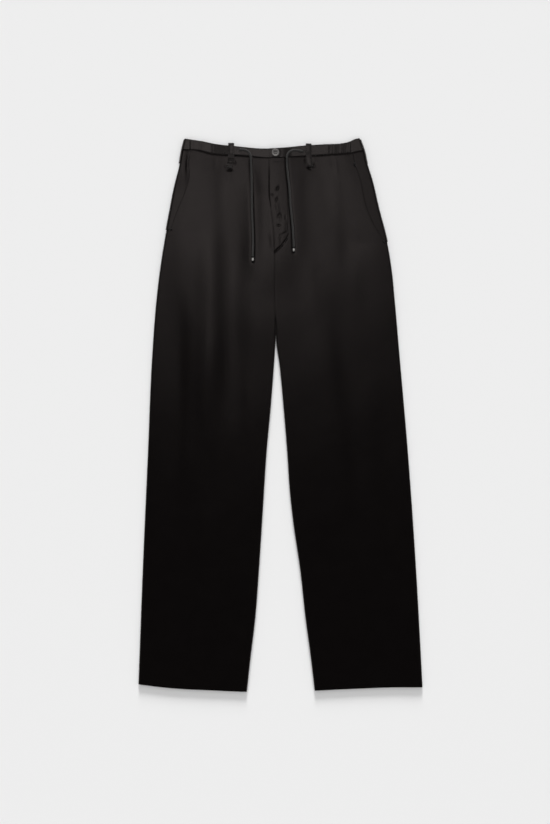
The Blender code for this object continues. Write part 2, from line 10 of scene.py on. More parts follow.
import bpy
import numpy as np
from mathutils import Matrix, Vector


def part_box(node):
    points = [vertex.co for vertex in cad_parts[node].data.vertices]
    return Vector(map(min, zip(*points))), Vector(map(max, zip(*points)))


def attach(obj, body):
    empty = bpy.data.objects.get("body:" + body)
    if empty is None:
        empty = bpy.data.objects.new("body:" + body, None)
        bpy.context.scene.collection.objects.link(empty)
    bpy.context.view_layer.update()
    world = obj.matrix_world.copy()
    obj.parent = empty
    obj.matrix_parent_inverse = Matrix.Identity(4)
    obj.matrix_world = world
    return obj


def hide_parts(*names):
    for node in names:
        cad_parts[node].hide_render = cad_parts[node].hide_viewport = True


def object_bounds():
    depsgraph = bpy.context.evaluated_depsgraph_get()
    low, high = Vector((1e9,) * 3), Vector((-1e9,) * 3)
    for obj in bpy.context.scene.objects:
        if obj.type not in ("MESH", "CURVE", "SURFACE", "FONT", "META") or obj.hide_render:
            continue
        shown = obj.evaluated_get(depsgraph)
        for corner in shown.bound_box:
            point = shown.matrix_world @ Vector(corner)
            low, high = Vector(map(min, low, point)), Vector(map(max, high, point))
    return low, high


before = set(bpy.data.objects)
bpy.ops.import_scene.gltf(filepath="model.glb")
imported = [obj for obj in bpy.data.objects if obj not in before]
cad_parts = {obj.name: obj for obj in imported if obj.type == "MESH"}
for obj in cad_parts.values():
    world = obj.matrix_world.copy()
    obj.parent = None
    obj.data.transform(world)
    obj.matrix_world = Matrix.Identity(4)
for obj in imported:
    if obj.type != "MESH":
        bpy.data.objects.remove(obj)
cad_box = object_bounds()

# Driving sizes, as in the model
LENGTH = cad_box[1][1] - cad_box[0][1]
CLOTH = 0.0012
BAND = 0.0020
LOOP = 0.0014
GAP = 0.0003
BACK_LEVEL = CLOTH / 2
FRONT_LEVEL = 0.0046
BAND_BACK_LEVEL = BAND / 2
BAND_LEVEL = 0.0050
CLOTH_MEET = (FRONT_LEVEL + CLOTH / 2) / 2
BAND_MEET = (BAND_LEVEL + BAND / 2) / 2
ROLL = 0.0025
ROLL_STEPS = 7
RIM_ROUNDING = 0.16
RIM_ANGLE = math.radians(50)
SHARP_ANGLE = math.radians(40)

# Side folds and inseams. Columns: down, x
SIDE_RIGHT = (
    (0.000, -0.1912),
    (0.023, -0.1968),
    (0.050, -0.2012),
    (0.083, -0.2090),
    (0.143, -0.2206),
    (0.203, -0.2316),
    (0.263, -0.2410),
    (0.323, -0.2480),
    (0.443, -0.2570),
    (0.623, -0.2648),
    (0.863, -0.2754),
    (1.092, -0.2840),
)
SIDE_LEFT = (
    (0.000, 0.1582),
    (0.023, 0.1664),
    (0.050, 0.1722),
    (0.083, 0.1824),
    (0.143, 0.1966),
    (0.203, 0.2122),
    (0.263, 0.2224),
    (0.323, 0.2284),
    (0.443, 0.2388),
    (0.623, 0.2544),
    (0.863, 0.2712),
    (1.097, 0.2840),
)
INSEAM_RIGHT = (
    (0.385, -0.0090),
    (0.443, -0.0124),
    (0.533, -0.0190),
    (0.623, -0.0272),
    (0.743, -0.0350),
    (0.863, -0.0428),
    (0.953, -0.0496),
    (1.043, -0.0602),
    (1.106, -0.0670),
)
INSEAM_LEFT = (
    (0.385, -0.0090),
    (0.413, -0.0078),
    (0.443, -0.0034),
    (0.533, 0.0054),
    (0.623, 0.0128),
    (0.713, 0.0190),
    (0.773, 0.0260),
    (0.863, 0.0392),
    (0.953, 0.0490),
    (1.043, 0.0610),
    (1.104, 0.0680),
)
CROTCH_DOWN = 0.385
CROTCH_ROLL_START = 0.352
CROTCH_ROLL_END = 0.398
CENTRE_BACK = -0.0090

# The fly's free edge, then the centre front seam. Columns: down, x
CENTRE_FRONT = (
    (0.030, -0.0210),
    (0.083, -0.0218),
    (0.112, -0.0214),
    (0.126, -0.0202),
    (0.151, -0.0174),
    (0.190, -0.0130),
    (0.228, -0.0112),
    (0.303, -0.0114),
    (0.385, -0.0090),
)
FLY_UNDERLAP = 0.012
FLY_OPEN_END = 0.130
FLY_TAPER = (FLY_OPEN_END - 0.03, FLY_OPEN_END)
SEWN_GAP = 0.0001
FLY_END = 0.212
FLY_SPREAD = 0.090
FLY_FADE = (FLY_END + 0.012, FLY_END + 0.12)

# Waist and hem lines, from the wearer's right to the left. Columns: x, down
WAIST_TOP = (
    (-0.193, 0.0010),
    (-0.181, 0.0026),
    (-0.157, 0.0062),
    (-0.133, 0.0112),
    (-0.085, 0.0166),
    (-0.037, 0.0208),
    (-0.007, 0.0200),
    (0.047, 0.0150),
    (0.095, 0.0120),
    (0.119, 0.0110),
    (0.133, 0.0086),
    (0.153, 0.0010),
    (0.165, 0.0000),
)
WAIST_SEAM = (
    (-0.198, 0.0222),
    (-0.161, 0.0252),
    (-0.141, 0.0306),
    (-0.121, 0.0328),
    (-0.073, 0.0352),
    (-0.029, 0.0392),
    (0.017, 0.0376),
    (0.085, 0.0340),
    (0.119, 0.0318),
    (0.141, 0.0296),
    (0.155, 0.0262),
    (0.170, 0.0245),
)
WAIST_SEAM_BACK = (
    (-0.198, 0.0222),
    (-0.110, 0.0325),
    (-0.020, 0.0375),
    (0.075, 0.0340),
    (0.170, 0.0245),
)
HEM = (
    (-0.284, 1.0912),
    (-0.241, 1.0968),
    (-0.193, 1.1008),
    (-0.145, 1.1030),
    (-0.067, 1.1062),
    (0.068, 1.1040),
    (0.119, 1.1014),
    (0.167, 1.0994),
    (0.215, 1.0976),
    (0.284, 1.0972),
)
WAIST_LEVEL = 0.032
WAIST_BLEND = 0.10
HEM_LEVEL = 1.100
HEM_BLEND = 0.15

# Slanted pocket openings. Columns: down, x
POCKET_RIGHT = (
    (0.0222, -0.1805),
    (0.0546, -0.1830),
    (0.0724, -0.1814),
    (0.1032, -0.1890),
    (0.1432, -0.2050),
    (0.1850, -0.2202),
)
POCKET_LEFT = (
    (0.0240, 0.1430),
    (0.0546, 0.1494),
    (0.0796, 0.1582),
    (0.1296, 0.1690),
    (0.1636, 0.1816),
    (0.2092, 0.2092),
)
POCKET_TUCK = 0.008
POCKET_CLEAR = 0.004
POCKET_SPREAD = 0.070
POCKET_EASE = 0.02
POCKET_FADE = 0.24
OVERLAY = CLOTH + GAP + 0.0001

# How a pocket's opening stands up. Columns: height, half width, down of its middle, half length
MOUTH_RIGHT = (0.0006, 0.030, 0.068, 0.034)
MOUTH_LEFT = (0.0003, 0.014, 0.140, 0.050)

# The pockets' side pieces. Stretches: start, end. Hollow: depth, half width
POCKET_SIDE_COLUMNS = 72
POCKET_SIDE_SHORT = 0.0012
POCKET_FLUSH = 0.0015
POCKET_FLUSH_START = (-0.0002, 0.0004)
POCKET_HOLLOW = (0.0008, 0.007)
POCKET_HOLLOW_END = (0.06, 0.12)

# How the right front rises to the fly's edge: stretches from the edge, then stretches down
FLY_FLUSH = 0.0011
FLY_RISE = (-0.075, -0.004)
FLY_DROP = (-0.0009, -0.0003)
FLY_RISE_START = (0.040, 0.120)
FLY_LEVELLING = (FLY_OPEN_END - 0.05, FLY_OPEN_END)
FLY_JOINING = (FLY_OPEN_END - 0.004, FLY_OPEN_END + 0.006)
FLY_CLOSING = (FLY_OPEN_END - 0.02, FLY_OPEN_END)
CENTRE_SEAM_START = (FLY_END - 0.01, FLY_END + 0.02)

# Stretches of the band
BAND_SEAM_RIGHT = -0.1030
BAND_SEAM_LEFT = 0.0970
BAND_END_RIGHT = -0.1810
BAND_END_LEFT = 0.1405
BAND_EDGE = -0.0210
BAND_SEAMS = (BAND_END_RIGHT, BAND_SEAM_RIGHT, BAND_SEAM_LEFT, BAND_END_LEFT)
BAND_UNDERLAP = 0.012
BAND_OVERLAY = BAND + GAP + 0.0001
BAND_STEP_START = 0.002
BAND_STEP_END = 0.024

# Grid spacing of the shells
FINE_ROW = 0.0015
LEG_ROW = 0.0058
BACK_STEP = 0.0070
FINE_UNTIL = 0.262

# Long soft folds of the fronts: steps from a ridge to a trough, falling to +X where the height is positive
# Columns: top x, top down, bottom x, bottom down, half width of the step, reach, height
FOLDS = (
    (-0.127, 0.080, -0.121, 0.600, 0.0190, 0.052, 0.0031),
    (-0.108, 0.160, -0.108, 0.520, 0.0260, 0.050, 0.0026),
    (-0.123, 0.330, -0.113, 0.640, 0.0180, 0.040, 0.0009),
    (-0.192, 0.260, -0.197, 0.860, 0.0120, 0.026, -0.0009),
    (-0.046, 0.020, -0.041, 0.300, 0.0120, 0.026, 0.0017),
    (-0.184, 0.300, -0.187, 0.560, 0.0180, 0.036, -0.0004),
    (0.045, 0.020, 0.045, 0.270, 0.0110, 0.028, 0.0005),
    (0.116, 0.030, 0.122, 0.300, 0.0130, 0.030, 0.0008),
    (0.071, 0.220, 0.074, 0.390, 0.0110, 0.030, 0.0005),
    (0.092, 0.260, 0.158, 0.860, 0.0200, 0.052, 0.0023),
    (0.158, 0.220, 0.159, 0.420, 0.0150, 0.034, 0.0004),
    (-0.122, 0.010, -0.124, 0.200, 0.0120, 0.026, 0.0005),
    (-0.070, 0.420, -0.074, 0.800, 0.0120, 0.030, -0.0007),
    (-0.160, 0.640, -0.176, 1.060, 0.0160, 0.050, -0.0012),
    (-0.118, 0.700, -0.128, 1.080, 0.0160, 0.050, 0.0012),
    (0.190, 0.420, 0.208, 0.900, 0.0160, 0.040, 0.0009),
    (0.112, 0.760, 0.124, 1.080, 0.0160, 0.050, -0.0012),
)

# Short creases of the fronts. Columns: x, down, heading in degrees from +X, half length, half width, height
CREASES = (
    (-0.0056, 0.1004, -55, 0.0050, 0.0026, -0.0006),
    (-0.0165, 0.1135, 25, 0.0035, 0.0014, -0.0003),
    (-0.0076, 0.1224, -60, 0.0050, 0.0018, -0.0005),
    (-0.0066, 0.1370, 85, 0.0090, 0.0035, 0.0003),
    (-0.0034, 0.1550, -55, 0.0045, 0.0022, -0.0005),
    (0.0000, 0.1560, 90, 0.0100, 0.0014, -0.0003),
    (-0.0034, 0.1750, 5, 0.0035, 0.0016, -0.0005),
    (0.0102, 0.1582, 90, 0.0040, 0.0015, -0.0003),
    (0.0070, 0.1780, 95, 0.0200, 0.0040, 0.0002),
    (-0.0170, 0.2050, 84, 0.0200, 0.0040, 0.0002),
    (-0.1510, 0.5300, 90, 0.1100, 0.0220, 0.0011),
    (-0.0600, 0.3300, 90, 0.1100, 0.0600, 0.0013),
    (0.1000, 0.2800, 90, 0.0800, 0.0600, 0.0006),
    (-0.1014, 0.0642, 0, 0.0045, 0.0016, -0.0009),
    (-0.0916, 0.0480, 75, 0.0045, 0.0013, -0.0006),
    (-0.1086, 0.0572, 80, 0.0040, 0.0013, -0.0005),
    (0.0576, 0.0604, 30, 0.0038, 0.0014, -0.0008),
    (0.0674, 0.0556, -65, 0.0048, 0.0014, -0.0008),
    (-0.1868, 0.0560, 94, 0.0160, 0.0024, -0.0003),
    (0.0505, 0.0440, 90, 0.0070, 0.0016, -0.0004),
    (0.0625, 0.0440, 90, 0.0050, 0.0016, -0.0004),
    (-0.1030, 0.0760, 84, 0.0160, 0.0050, -0.00015),
    (0.1030, 0.0480, 78, 0.0120, 0.0040, -0.0002),
    (0.1110, 0.0560, 84, 0.0160, 0.0040, 0.0002),
    (-0.1300, 0.0480, 96, 0.0120, 0.0040, -0.00015),
    (-0.0500, 0.0560, 88, 0.0140, 0.0040, -0.00015),
    (0.1490, 0.0545, 60, 0.0020, 0.0016, -0.0005),
    (0.2080, 0.2090, 20, 0.0020, 0.0016, -0.0005),
    (-0.2190, 0.1850, 10, 0.0020, 0.0016, -0.0004),
)

# Sewn lines that pull the cloth in. Columns: x, down, to x, to down, half width, depth
SEWN_LINES = (
    (-0.0112, 0.2278, 0.0030, 0.2146, 0.0013, 0.00090),
    (0.0030, 0.2146, 0.0130, 0.2010, 0.0012, 0.00070),
    (0.0130, 0.2010, 0.0166, 0.1920, 0.0012, 0.00040),
    (0.0166, 0.1920, 0.0155, 0.1700, 0.0014, 0.00015),
    (0.0155, 0.1700, 0.0150, 0.0480, 0.0014, 0.00006),
    (-0.0010, 0.1948, 0.0130, 0.1876, 0.0013, 0.00030),
    (-0.0010, 0.1952, -0.0012, 0.2140, 0.0013, 0.00022),
    (-0.0120, 0.0458, 0.0090, 0.0458, 0.0014, 0.00012),
)

# Unevenness of the cloth and its folds
UNEVENNESS = 0.00012
FOLD_WANDER = 0.002
FOLD_START = 0.3
FOLD_END = 0.65

# Grooves of seams, edges and stitches. Columns: depth, half width
WAIST_SEAM_GROOVE = (0.0003, 0.0018)
FLY_GROOVE = (0.00012, 0.0012)
FLY_GROOVE_PLACE = -0.0008
CENTRE_GROOVE_RIGHT = (0.00004, 0.0016)
CENTRE_GROOVE_LEFT = (0.00006, 0.0020)
BAND_END_GROOVE = (0.0003, 0.0013)
BUTTON_GROOVE = (0.0007, 0.0020)
LOOP_STITCH_GROOVE = (0.00015, 0.05)

# Where the waist seam is pulled in less. Columns: x, half width, how much less
SEAM_SLACK = ((-0.003, 0.050, 1.0), (-0.176, 0.018, 0.6))


def along(table, place):
    """The table's second column at a place in its first, on a smooth curve through its rows."""
    keys, values = np.array(table, float).T
    slopes = np.gradient(values, keys)
    place = np.clip(place, keys[0], keys[-1])
    low = np.clip(np.searchsorted(keys, place) - 1, 0, len(keys) - 2)
    span = keys[low + 1] - keys[low]
    t = (place - keys[low]) / span
    start = values[low] * (1 + 2 * t) * (1 - t) ** 2 + slopes[low] * span * t * (1 - t) ** 2
    end = values[low + 1] * t**2 * (3 - 2 * t) + slopes[low + 1] * span * t**2 * (t - 1)
    return start + end


def ease(low, high, value):
    """0 below low, 1 above high, and a smooth step between them."""
    t = np.clip((value - low) / (high - low), 0, 1)
    return t * t * (3 - 2 * t)


def hill(distance, half_width):
    return np.exp(-((distance / half_width) ** 2))


def groove(distance, depth, half_width):
    """How deep a groove is at a distance from its middle."""
    return depth * hill(distance, half_width)


def columns_along(table, place):
    """Each of the table's other columns at a place in its first."""
    table = np.array(table, float)
    return [along(table[:, (0, column)], place) for column in range(1, table.shape[1])]


def place_of(points):
    """x and down of points."""
    return points[..., 0], LENGTH / 2 - points[..., 1]


def folds_at(x, down):
    """Height that the long soft folds and a faint unevenness add to the front here."""
    total = UNEVENNESS * np.sin(61 * x + 17 * down + 1.3) * np.sin(23 * down - 31 * x)
    for top_x, top_down, bottom_x, bottom_down, step, reach, height in FOLDS:
        t = (down - top_down) / (bottom_down - top_down)
        wander = FOLD_WANDER * np.sin(7 * t + 40 * top_x)
        offset = x - top_x - (bottom_x - top_x) * t - wander
        fade = ease(0, FOLD_START, t) * (1 - ease(FOLD_END, 1, t))
        total = total - height / 2 * fade * np.tanh(offset / step) * hill(offset, reach)
    return total


def creases_at(x, down):
    """Height that the short creases add to the outer side here."""
    total = 0.0
    for centre_x, centre_down, heading, half_length, half_width, height in CREASES:
        heading = math.radians(heading)
        ahead = (x - centre_x) * math.cos(heading) + (down - centre_down) * math.sin(heading)
        aside = (down - centre_down) * math.cos(heading) - (x - centre_x) * math.sin(heading)
        total = total + height * hill(ahead, half_length) * hill(aside, half_width)
    return total


def sewn_in(x, down):
    """How far the sewn lines pull the outer side in here."""
    total = 0.0
    for start_x, start_down, end_x, end_down, half_width, depth in SEWN_LINES:
        run_x, run_down = end_x - start_x, end_down - start_down
        share = ((x - start_x) * run_x + (down - start_down) * run_down) / (run_x**2 + run_down**2)
        share = np.clip(share, 0, 1)
        away = np.hypot(x - start_x - share * run_x, down - start_down - share * run_down)
        total = np.maximum(total, depth * hill(away, half_width))
    return total


def cloth_down(x, level, seam=WAIST_SEAM):
    """Down of the row at this level: rows bend to the waist seam at the top and to the hem below."""
    waist = (along(seam, x) - WAIST_LEVEL) * (1 - ease(WAIST_LEVEL, WAIST_LEVEL + WAIST_BLEND, level))
    hem = (along(HEM, x) - HEM_LEVEL) * ease(HEM_LEVEL - HEM_BLEND, HEM_LEVEL, level)
    return level + waist + hem


def cloth_down_back(x, level):
    return cloth_down(x, level, WAIST_SEAM_BACK)


def band_down(x, share, seam=WAIST_SEAM):
    """Down of a line along the band, from its top edge at share 0 to its seam at share 1."""
    top = along(WAIST_TOP, x)
    return top + share * (along(seam, x) - GAP - top)


def side_right(down):
    return along(SIDE_RIGHT, down)


def side_left(down):
    return along(SIDE_LEFT, down)


def crotch_roll(down):
    return ease(CROTCH_ROLL_START, CROTCH_ROLL_END, down)


def no_roll(down):
    return 0.0


def full_roll(down):
    return 1.0


def front_outer(pocket, side):
    """A front's outer side: the pocket's opening, and the side fold below it."""
    return lambda down: along(pocket, down) if down <= pocket[-1][0] else side(down)


def front_right_inner(down):
    if down > CROTCH_DOWN:
        return along(INSEAM_RIGHT, down) - GAP / 2
    underlap = FLY_UNDERLAP - (FLY_UNDERLAP + SEWN_GAP) * ease(*FLY_TAPER, down)
    return along(CENTRE_FRONT, down) + underlap


def front_left_inner(down):
    if down > CROTCH_DOWN:
        return along(INSEAM_LEFT, down) + GAP / 2
    return along(CENTRE_FRONT, down)


def back_right_inner(down):
    edge = along(INSEAM_RIGHT, down) if down > CROTCH_DOWN else CENTRE_BACK
    return edge - GAP / 2


def back_left_inner(down):
    edge = along(INSEAM_LEFT, down) if down > CROTCH_DOWN else CENTRE_BACK
    return edge + GAP / 2


def over_pocket(pocket, way, x, down):
    """How fully the front lies on the pocket's side piece: less inside the opening and below it."""
    inside = way * (x - along(pocket, down)) - POCKET_TUCK - POCKET_CLEAR
    end = pocket[-1][0]
    return (1 - ease(0, POCKET_SPREAD, inside)) * (1 - ease(end - POCKET_EASE, end + POCKET_FADE, down))


def mouth(pocket, x, down, height, half_width, middle, half_length):
    """How far a pocket's opening stands up here."""
    return height * hill(x - along(pocket, down), half_width) * hill(down - middle, half_length)


def fly_fade(down):
    """1 beside the fly, easing to 0 below it."""
    return 1 - ease(*FLY_FADE, down)


def front_right_height(x, down):
    """The front lies over the pocket's side piece near the opening, and eases down inside it."""
    lifted = OVERLAY * over_pocket(POCKET_RIGHT, 1, x, down)
    return FRONT_LEVEL + folds_at(x, down) + lifted + mouth(POCKET_RIGHT, x, down, *MOUTH_RIGHT)


def front_left_height(x, down):
    """As on the other side, and raised over the underlap of the fly."""
    edge = along(CENTRE_FRONT, down)
    over_fly = (1 - ease(edge + FLY_UNDERLAP, edge + FLY_SPREAD, x)) * fly_fade(down)
    lifted = OVERLAY * np.maximum(over_pocket(POCKET_LEFT, -1, x, down), over_fly)
    return FRONT_LEVEL + folds_at(x, down) + lifted + mouth(POCKET_LEFT, x, down, *MOUTH_LEFT)


def level_height(level):
    return lambda x, down: np.full_like(x, level)


def along_cords(x, down):
    """How far the drawcords press the cloth in."""
    total = 0.0
    for route in (CORD_RIGHT, CORD_LEFT):
        table = [(LENGTH / 2 - y, cord_x) for cord_x, y, z in route[CORD_ON_CLOTH:]]
        first, last = table[0][0], table[-1][0]
        lies = ease(first - CORD_PRESS_FADE, first, down) * (1 - ease(last, last + CORD_PRESS_FADE, down))
        total = total + lies * hill(x - along(table, down), CORD_PRESS_WIDTH)
    return CORD_PRESS * total


def seam_pull(x):
    """How strongly the waist seam is pulled in here: least behind the button and at the wearer's right."""
    return 1 - sum(slack * hill(x - middle, half_width) for middle, half_width, slack in SEAM_SLACK)


def sunk_waist_seam(x, down):
    """How far the waist seam is sunk into the cloth."""
    return seam_pull(x) * groove(down - along(WAIST_SEAM, x), *WAIST_SEAM_GROOVE)


def shared_relief(x, down):
    """Relief of both fronts' outer side: creases, sewn lines, the waist seam and where the cords press."""
    pressed = along_cords(x, down) + sunk_waist_seam(x, down)
    return creases_at(x, down) - sewn_in(x, down) - pressed


def front_right_relief(x, down):
    """The right front rises to lie nearly flush with the fly's edge, and level with the seam below it."""
    from_edge = x - along(CENTRE_FRONT, down)
    closed = ease(*FLY_CLOSING, down)
    fly = (1 - closed) * groove(from_edge - FLY_GROOVE_PLACE, *FLY_GROOVE)
    seam = closed * groove(from_edge, *CENTRE_GROOVE_RIGHT)
    drop = (1 - ease(*FLY_JOINING, down)) * ease(*FLY_DROP, from_edge)
    level = FLY_FLUSH + (OVERLAY - FLY_FLUSH) * ease(*FLY_LEVELLING, down)
    fade = ease(*FLY_RISE_START, down) * fly_fade(down)
    flush = level * ease(*FLY_RISE, from_edge) * (1 - drop) * fade
    return shared_relief(x, down) - (fly + seam) * (down < CROTCH_DOWN) + flush


def front_left_relief(x, down):
    """The left front is drawn in a little along the centre seam."""
    from_edge = x - along(CENTRE_FRONT, down)
    below_fly = ease(*CENTRE_SEAM_START, down) * (down < CROTCH_DOWN)
    return shared_relief(x, down) - below_fly * groove(from_edge, *CENTRE_GROOVE_LEFT)


def edge_of(side, row_down, level):
    """Where a side line crosses a row: the row's bend moves the crossing a little."""
    x = side(level)
    for _ in range(3):
        x = side(row_down(x, level))
    return x


def panel(levels, row_down, left, right, height, shares, thickness, rim, roll_left, roll_right):
    """Points of the middle of a shell, row by row from the waist, each from -X to +X.

    shares places the columns between the two sides, from 0 to 1.
    roll_left and roll_right say how far each side rolls over, from 0, flat, to 1, down to the rim's height.
    """
    grid = []
    angles = np.linspace(math.pi / 2, 0, ROLL_STEPS, endpoint=False)
    outwards = np.linspace(1, 0, ROLL_STEPS, endpoint=False)
    for level in levels:
        x_left = edge_of(left, row_down, level)
        x_right = edge_of(right, row_down, level)
        turn_left = roll_left(row_down(x_left, level))
        turn_right = roll_right(row_down(x_right, level))
        start = x_left + turn_left * thickness / 2 + ROLL
        end = x_right - turn_right * thickness / 2 - ROLL
        x = start + (end - start) * shares
        z = height(x, row_down(x, level))
        rolled = []
        for turn, inner, top, way in ((turn_left, start, z[0], -1), (turn_right, end, z[-1], 1)):
            out = ROLL * ((1 - turn) * outwards + turn * np.sin(angles))
            rolled.append((inner + way * out, top + turn * (1 - np.cos(angles)) * (rim - top)))
        x = np.concatenate([rolled[0][0], x, rolled[1][0][::-1]])
        z = np.concatenate([rolled[0][1], z, rolled[1][1][::-1]])
        grid.append(np.stack([x, LENGTH / 2 - row_down(x, level), z], axis=1))
    return np.array(grid)


def wall(name, points, thickness, material, lift=None):
    """A closed shell round a grid of middle points, with rounded rims. lift raises the outer side only."""
    across = np.gradient(points, axis=1, edge_order=2)
    lengthways = np.gradient(points, axis=0)
    normals = np.cross(lengthways, across)
    normals /= np.linalg.norm(normals, axis=2, keepdims=True)
    raised = 0.0 if lift is None else lift[..., None]
    outer = points + normals * (thickness / 2 + raised)
    inner = points - normals * thickness / 2
    rows, columns = points.shape[:2]
    count = rows * columns
    index = np.arange(count).reshape(rows, columns)
    quads = np.stack([index[:-1, :-1], index[1:, :-1], index[1:, 1:], index[:-1, 1:]], axis=-1)
    quads = quads.reshape(-1, 4)
    border = np.concatenate([index[0, :-1], index[:-1, -1], index[-1, :0:-1], index[:0:-1, 0]])
    following = np.roll(border, -1)
    rim = np.stack([border, following, following + count, border + count], axis=-1)
    faces = np.concatenate([quads, quads[:, ::-1] + count, rim])
    vertices = np.concatenate([outer.reshape(-1, 3), inner.reshape(-1, 3)])
    made = shape(name, vertices, faces, material)
    rounding = made.modifiers.new("rounded rim", "BEVEL")
    rounding.limit_method = "ANGLE"
    rounding.angle_limit = RIM_ANGLE
    rounding.width = RIM_ROUNDING * thickness
    rounding.segments = 2
    return plain(made)


def add_object(name, data):
    made = bpy.data.objects.new(name, data)
    bpy.context.scene.collection.objects.link(made)
    return made


def shape(name, vertices, faces, material):
    """A smooth-shaded mesh object of points and faces."""
    data = bpy.data.meshes.new(name)
    data.from_pydata(np.asarray(vertices).tolist(), [], [list(face) for face in faces])
    data.materials.append(material)
    data.shade_smooth()
    return add_object(name, data)


def plain(piece):
    """The same piece as a plain mesh, with its modifiers applied."""
    depsgraph = bpy.context.evaluated_depsgraph_get()
    data = bpy.data.meshes.new_from_object(piece.evaluated_get(depsgraph))
    piece.modifiers.clear()
    old = piece.data
    piece.data = data
    bpy.data.meshes.remove(old)
    data.name = piece.name
    return piece


def tie(piece, node):
    """Hides the node's part of the frame and ties the piece to the frame's root."""
    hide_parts(node)
    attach(piece, "root")


def cloth_piece(node, points, thickness, material, lift=None):
    """A cloth shell tied to the frame."""
    piece = wall(f"{node}_cloth", points, thickness, material, lift)
    tie(piece, node)


# Materials
SATIN_ROUGHNESS = 0.234
GLOSS_RANGE = 0.012
RIB_SLANT = math.radians(63)
TIP_SILVER = (0.74, 0.72, 0.69)
# Painted shade: the near-black colour of the tips' ends
TIP_PAINTED_SHADE = (0.006, 0.006, 0.006)


def feed(tree, node, inputs):
    """Puts a value on each of these inputs of a node, or links another node's output to it."""
    for socket, given in inputs.items():
        if isinstance(given, bpy.types.NodeSocket):
            tree.links.new(given, node.inputs[socket])
        else:
            node.inputs[socket].default_value = given


def add_node(tree, kind, inputs=None):
    """A new node with its inputs fed."""
    node = tree.nodes.new(kind)
    feed(tree, node, inputs or {})
    return node


def new_material(name, inputs):
    """A material with these uniform values, its tree and its shader."""
    made = bpy.data.materials.new(name)
    made.use_nodes = True
    tree = made.node_tree
    shader = tree.nodes["Principled BSDF"]
    feed(tree, shader, inputs)
    return made, tree, shader


def on_piece(tree):
    """Coordinates that stay with the piece."""
    return add_node(tree, "ShaderNodeTexCoord").outputs["Object"]


def noise(tree, inputs):
    """The grey value of a noise."""
    return add_node(tree, "ShaderNodeTexNoise", inputs).outputs["Fac"]


def vary_colour(tree, shader, share, low, high):
    """Colours the shader between low and high, by a share from 0 to 1."""
    shade = add_node(tree, "ShaderNodeMix")
    shade.data_type = "RGBA"
    feed(tree, shade, {0: share, 6: (*low, 1), 7: (*high, 1)})
    feed(tree, shader, {"Base Color": shade.outputs[2]})


def vary_gloss(tree, shader, share, low, high):
    """Sets the shader's roughness between low and high, by a share from 0 to 1."""
    gloss = add_node(tree, "ShaderNodeMapRange", {"Value": share, "To Min": low, "To Max": high})
    feed(tree, shader, {"Roughness": gloss.outputs["Result"]})


def make_satin(name, colour, sheen):
    """Satin-faced twill: fine slanting ribs, slightly uneven colour and gloss."""
    made, tree, shader = new_material(
        name,
        {
            "Base Color": (*colour, 1),
            "Roughness": SATIN_ROUGHNESS,
            "Specular IOR Level": 0.5,
            "Specular Tint": (1.0, 0.88, 0.85, 1.0),
            "Sheen Weight": sheen,
            "Sheen Roughness": 0.5,
        },
    )
    place = on_piece(tree)
    slant = add_node(tree, "ShaderNodeMapping", {"Vector": place, "Rotation": (0, 0, RIB_SLANT)})
    ribs = add_node(
        tree,
        "ShaderNodeTexWave",
        {"Vector": slant.outputs["Vector"], "Scale": 380, "Distortion": 1.2, "Detail": 1},
    )
    mottle = noise(tree, {"Vector": place, "Scale": 34, "Detail": 5, "Roughness": 0.55})
    vary_colour(tree, shader, mottle, [0.82 * c for c in colour], [1.2 * c for c in colour])
    vary_gloss(tree, shader, mottle, SATIN_ROUGHNESS - GLOSS_RANGE, SATIN_ROUGHNESS + GLOSS_RANGE)
    rib_bump = add_node(
        tree, "ShaderNodeBump", {"Height": ribs.outputs["Fac"], "Strength": 0.15, "Distance": 0.00008}
    )
    soft_bump = add_node(
        tree,
        "ShaderNodeBump",
        {"Height": mottle, "Strength": 0.35, "Distance": 0.0003, "Normal": rib_bump.outputs["Normal"]},
    )
    feed(tree, shader, {"Normal": soft_bump.outputs["Normal"]})
    return made


def make_yarn(name, colour, roughness, grain):
    """Matt yarn, as in cords and sewing thread, with a fine fibre grain."""
    made, tree, shader = new_material(
        name,
        {
            "Base Color": (*colour, 1),
            "Roughness": roughness,
            "Specular IOR Level": 0.35,
            "Sheen Weight": 0.15,
            "Sheen Roughness": 0.4,
        },
    )
    fibres = noise(tree, {"Vector": on_piece(tree), "Scale": grain, "Detail": 3})
    vary_colour(tree, shader, fibres, [0.7 * c for c in colour], [1.3 * c for c in colour])
    bump = add_node(tree, "ShaderNodeBump", {"Height": fibres, "Strength": 0.4, "Distance": 0.0001})
    feed(tree, shader, {"Normal": bump.outputs["Normal"]})
    return made


def make_tip_metal():
    """Silver-coloured metal with faint turning marks, and painted shade: its colour goes near black over
    both ends.
    """
    values = {"Base Color": (*TIP_SILVER, 1), "Roughness": 0.2, "Metallic": 1.0}
    made, tree, shader = new_material("satin_metal", values)
    # Painted shade: a mask darkens the colour towards both ends of each tip
    painted_end_shade = add_node(tree, "ShaderNodeAttribute")
    painted_end_shade.attribute_name = "painted_end_shade"
    vary_colour(tree, shader, painted_end_shade.outputs["Fac"], TIP_SILVER, TIP_PAINTED_SHADE)
    stretch = add_node(tree, "ShaderNodeMapping", {"Vector": on_piece(tree), "Scale": (0.2, 3.0, 0.2)})
    marks = noise(tree, {"Vector": stretch.outputs["Vector"], "Scale": 900, "Detail": 3})
    vary_gloss(tree, shader, marks, 0.14, 0.26)
    return made


def make_button_grey():
    """Polished grey resin with soft cloudy streaks."""
    values = {"Base Color": (0.15, 0.14, 0.135, 1), "Roughness": 0.3}
    made, tree, shader = new_material("button_resin", values)
    clouds = noise(tree, {"Vector": on_piece(tree), "Scale": 220, "Detail": 2, "Distortion": 1.5})
    vary_colour(tree, shader, clouds, (0.08, 0.074, 0.071), (0.16, 0.152, 0.148))
    return made


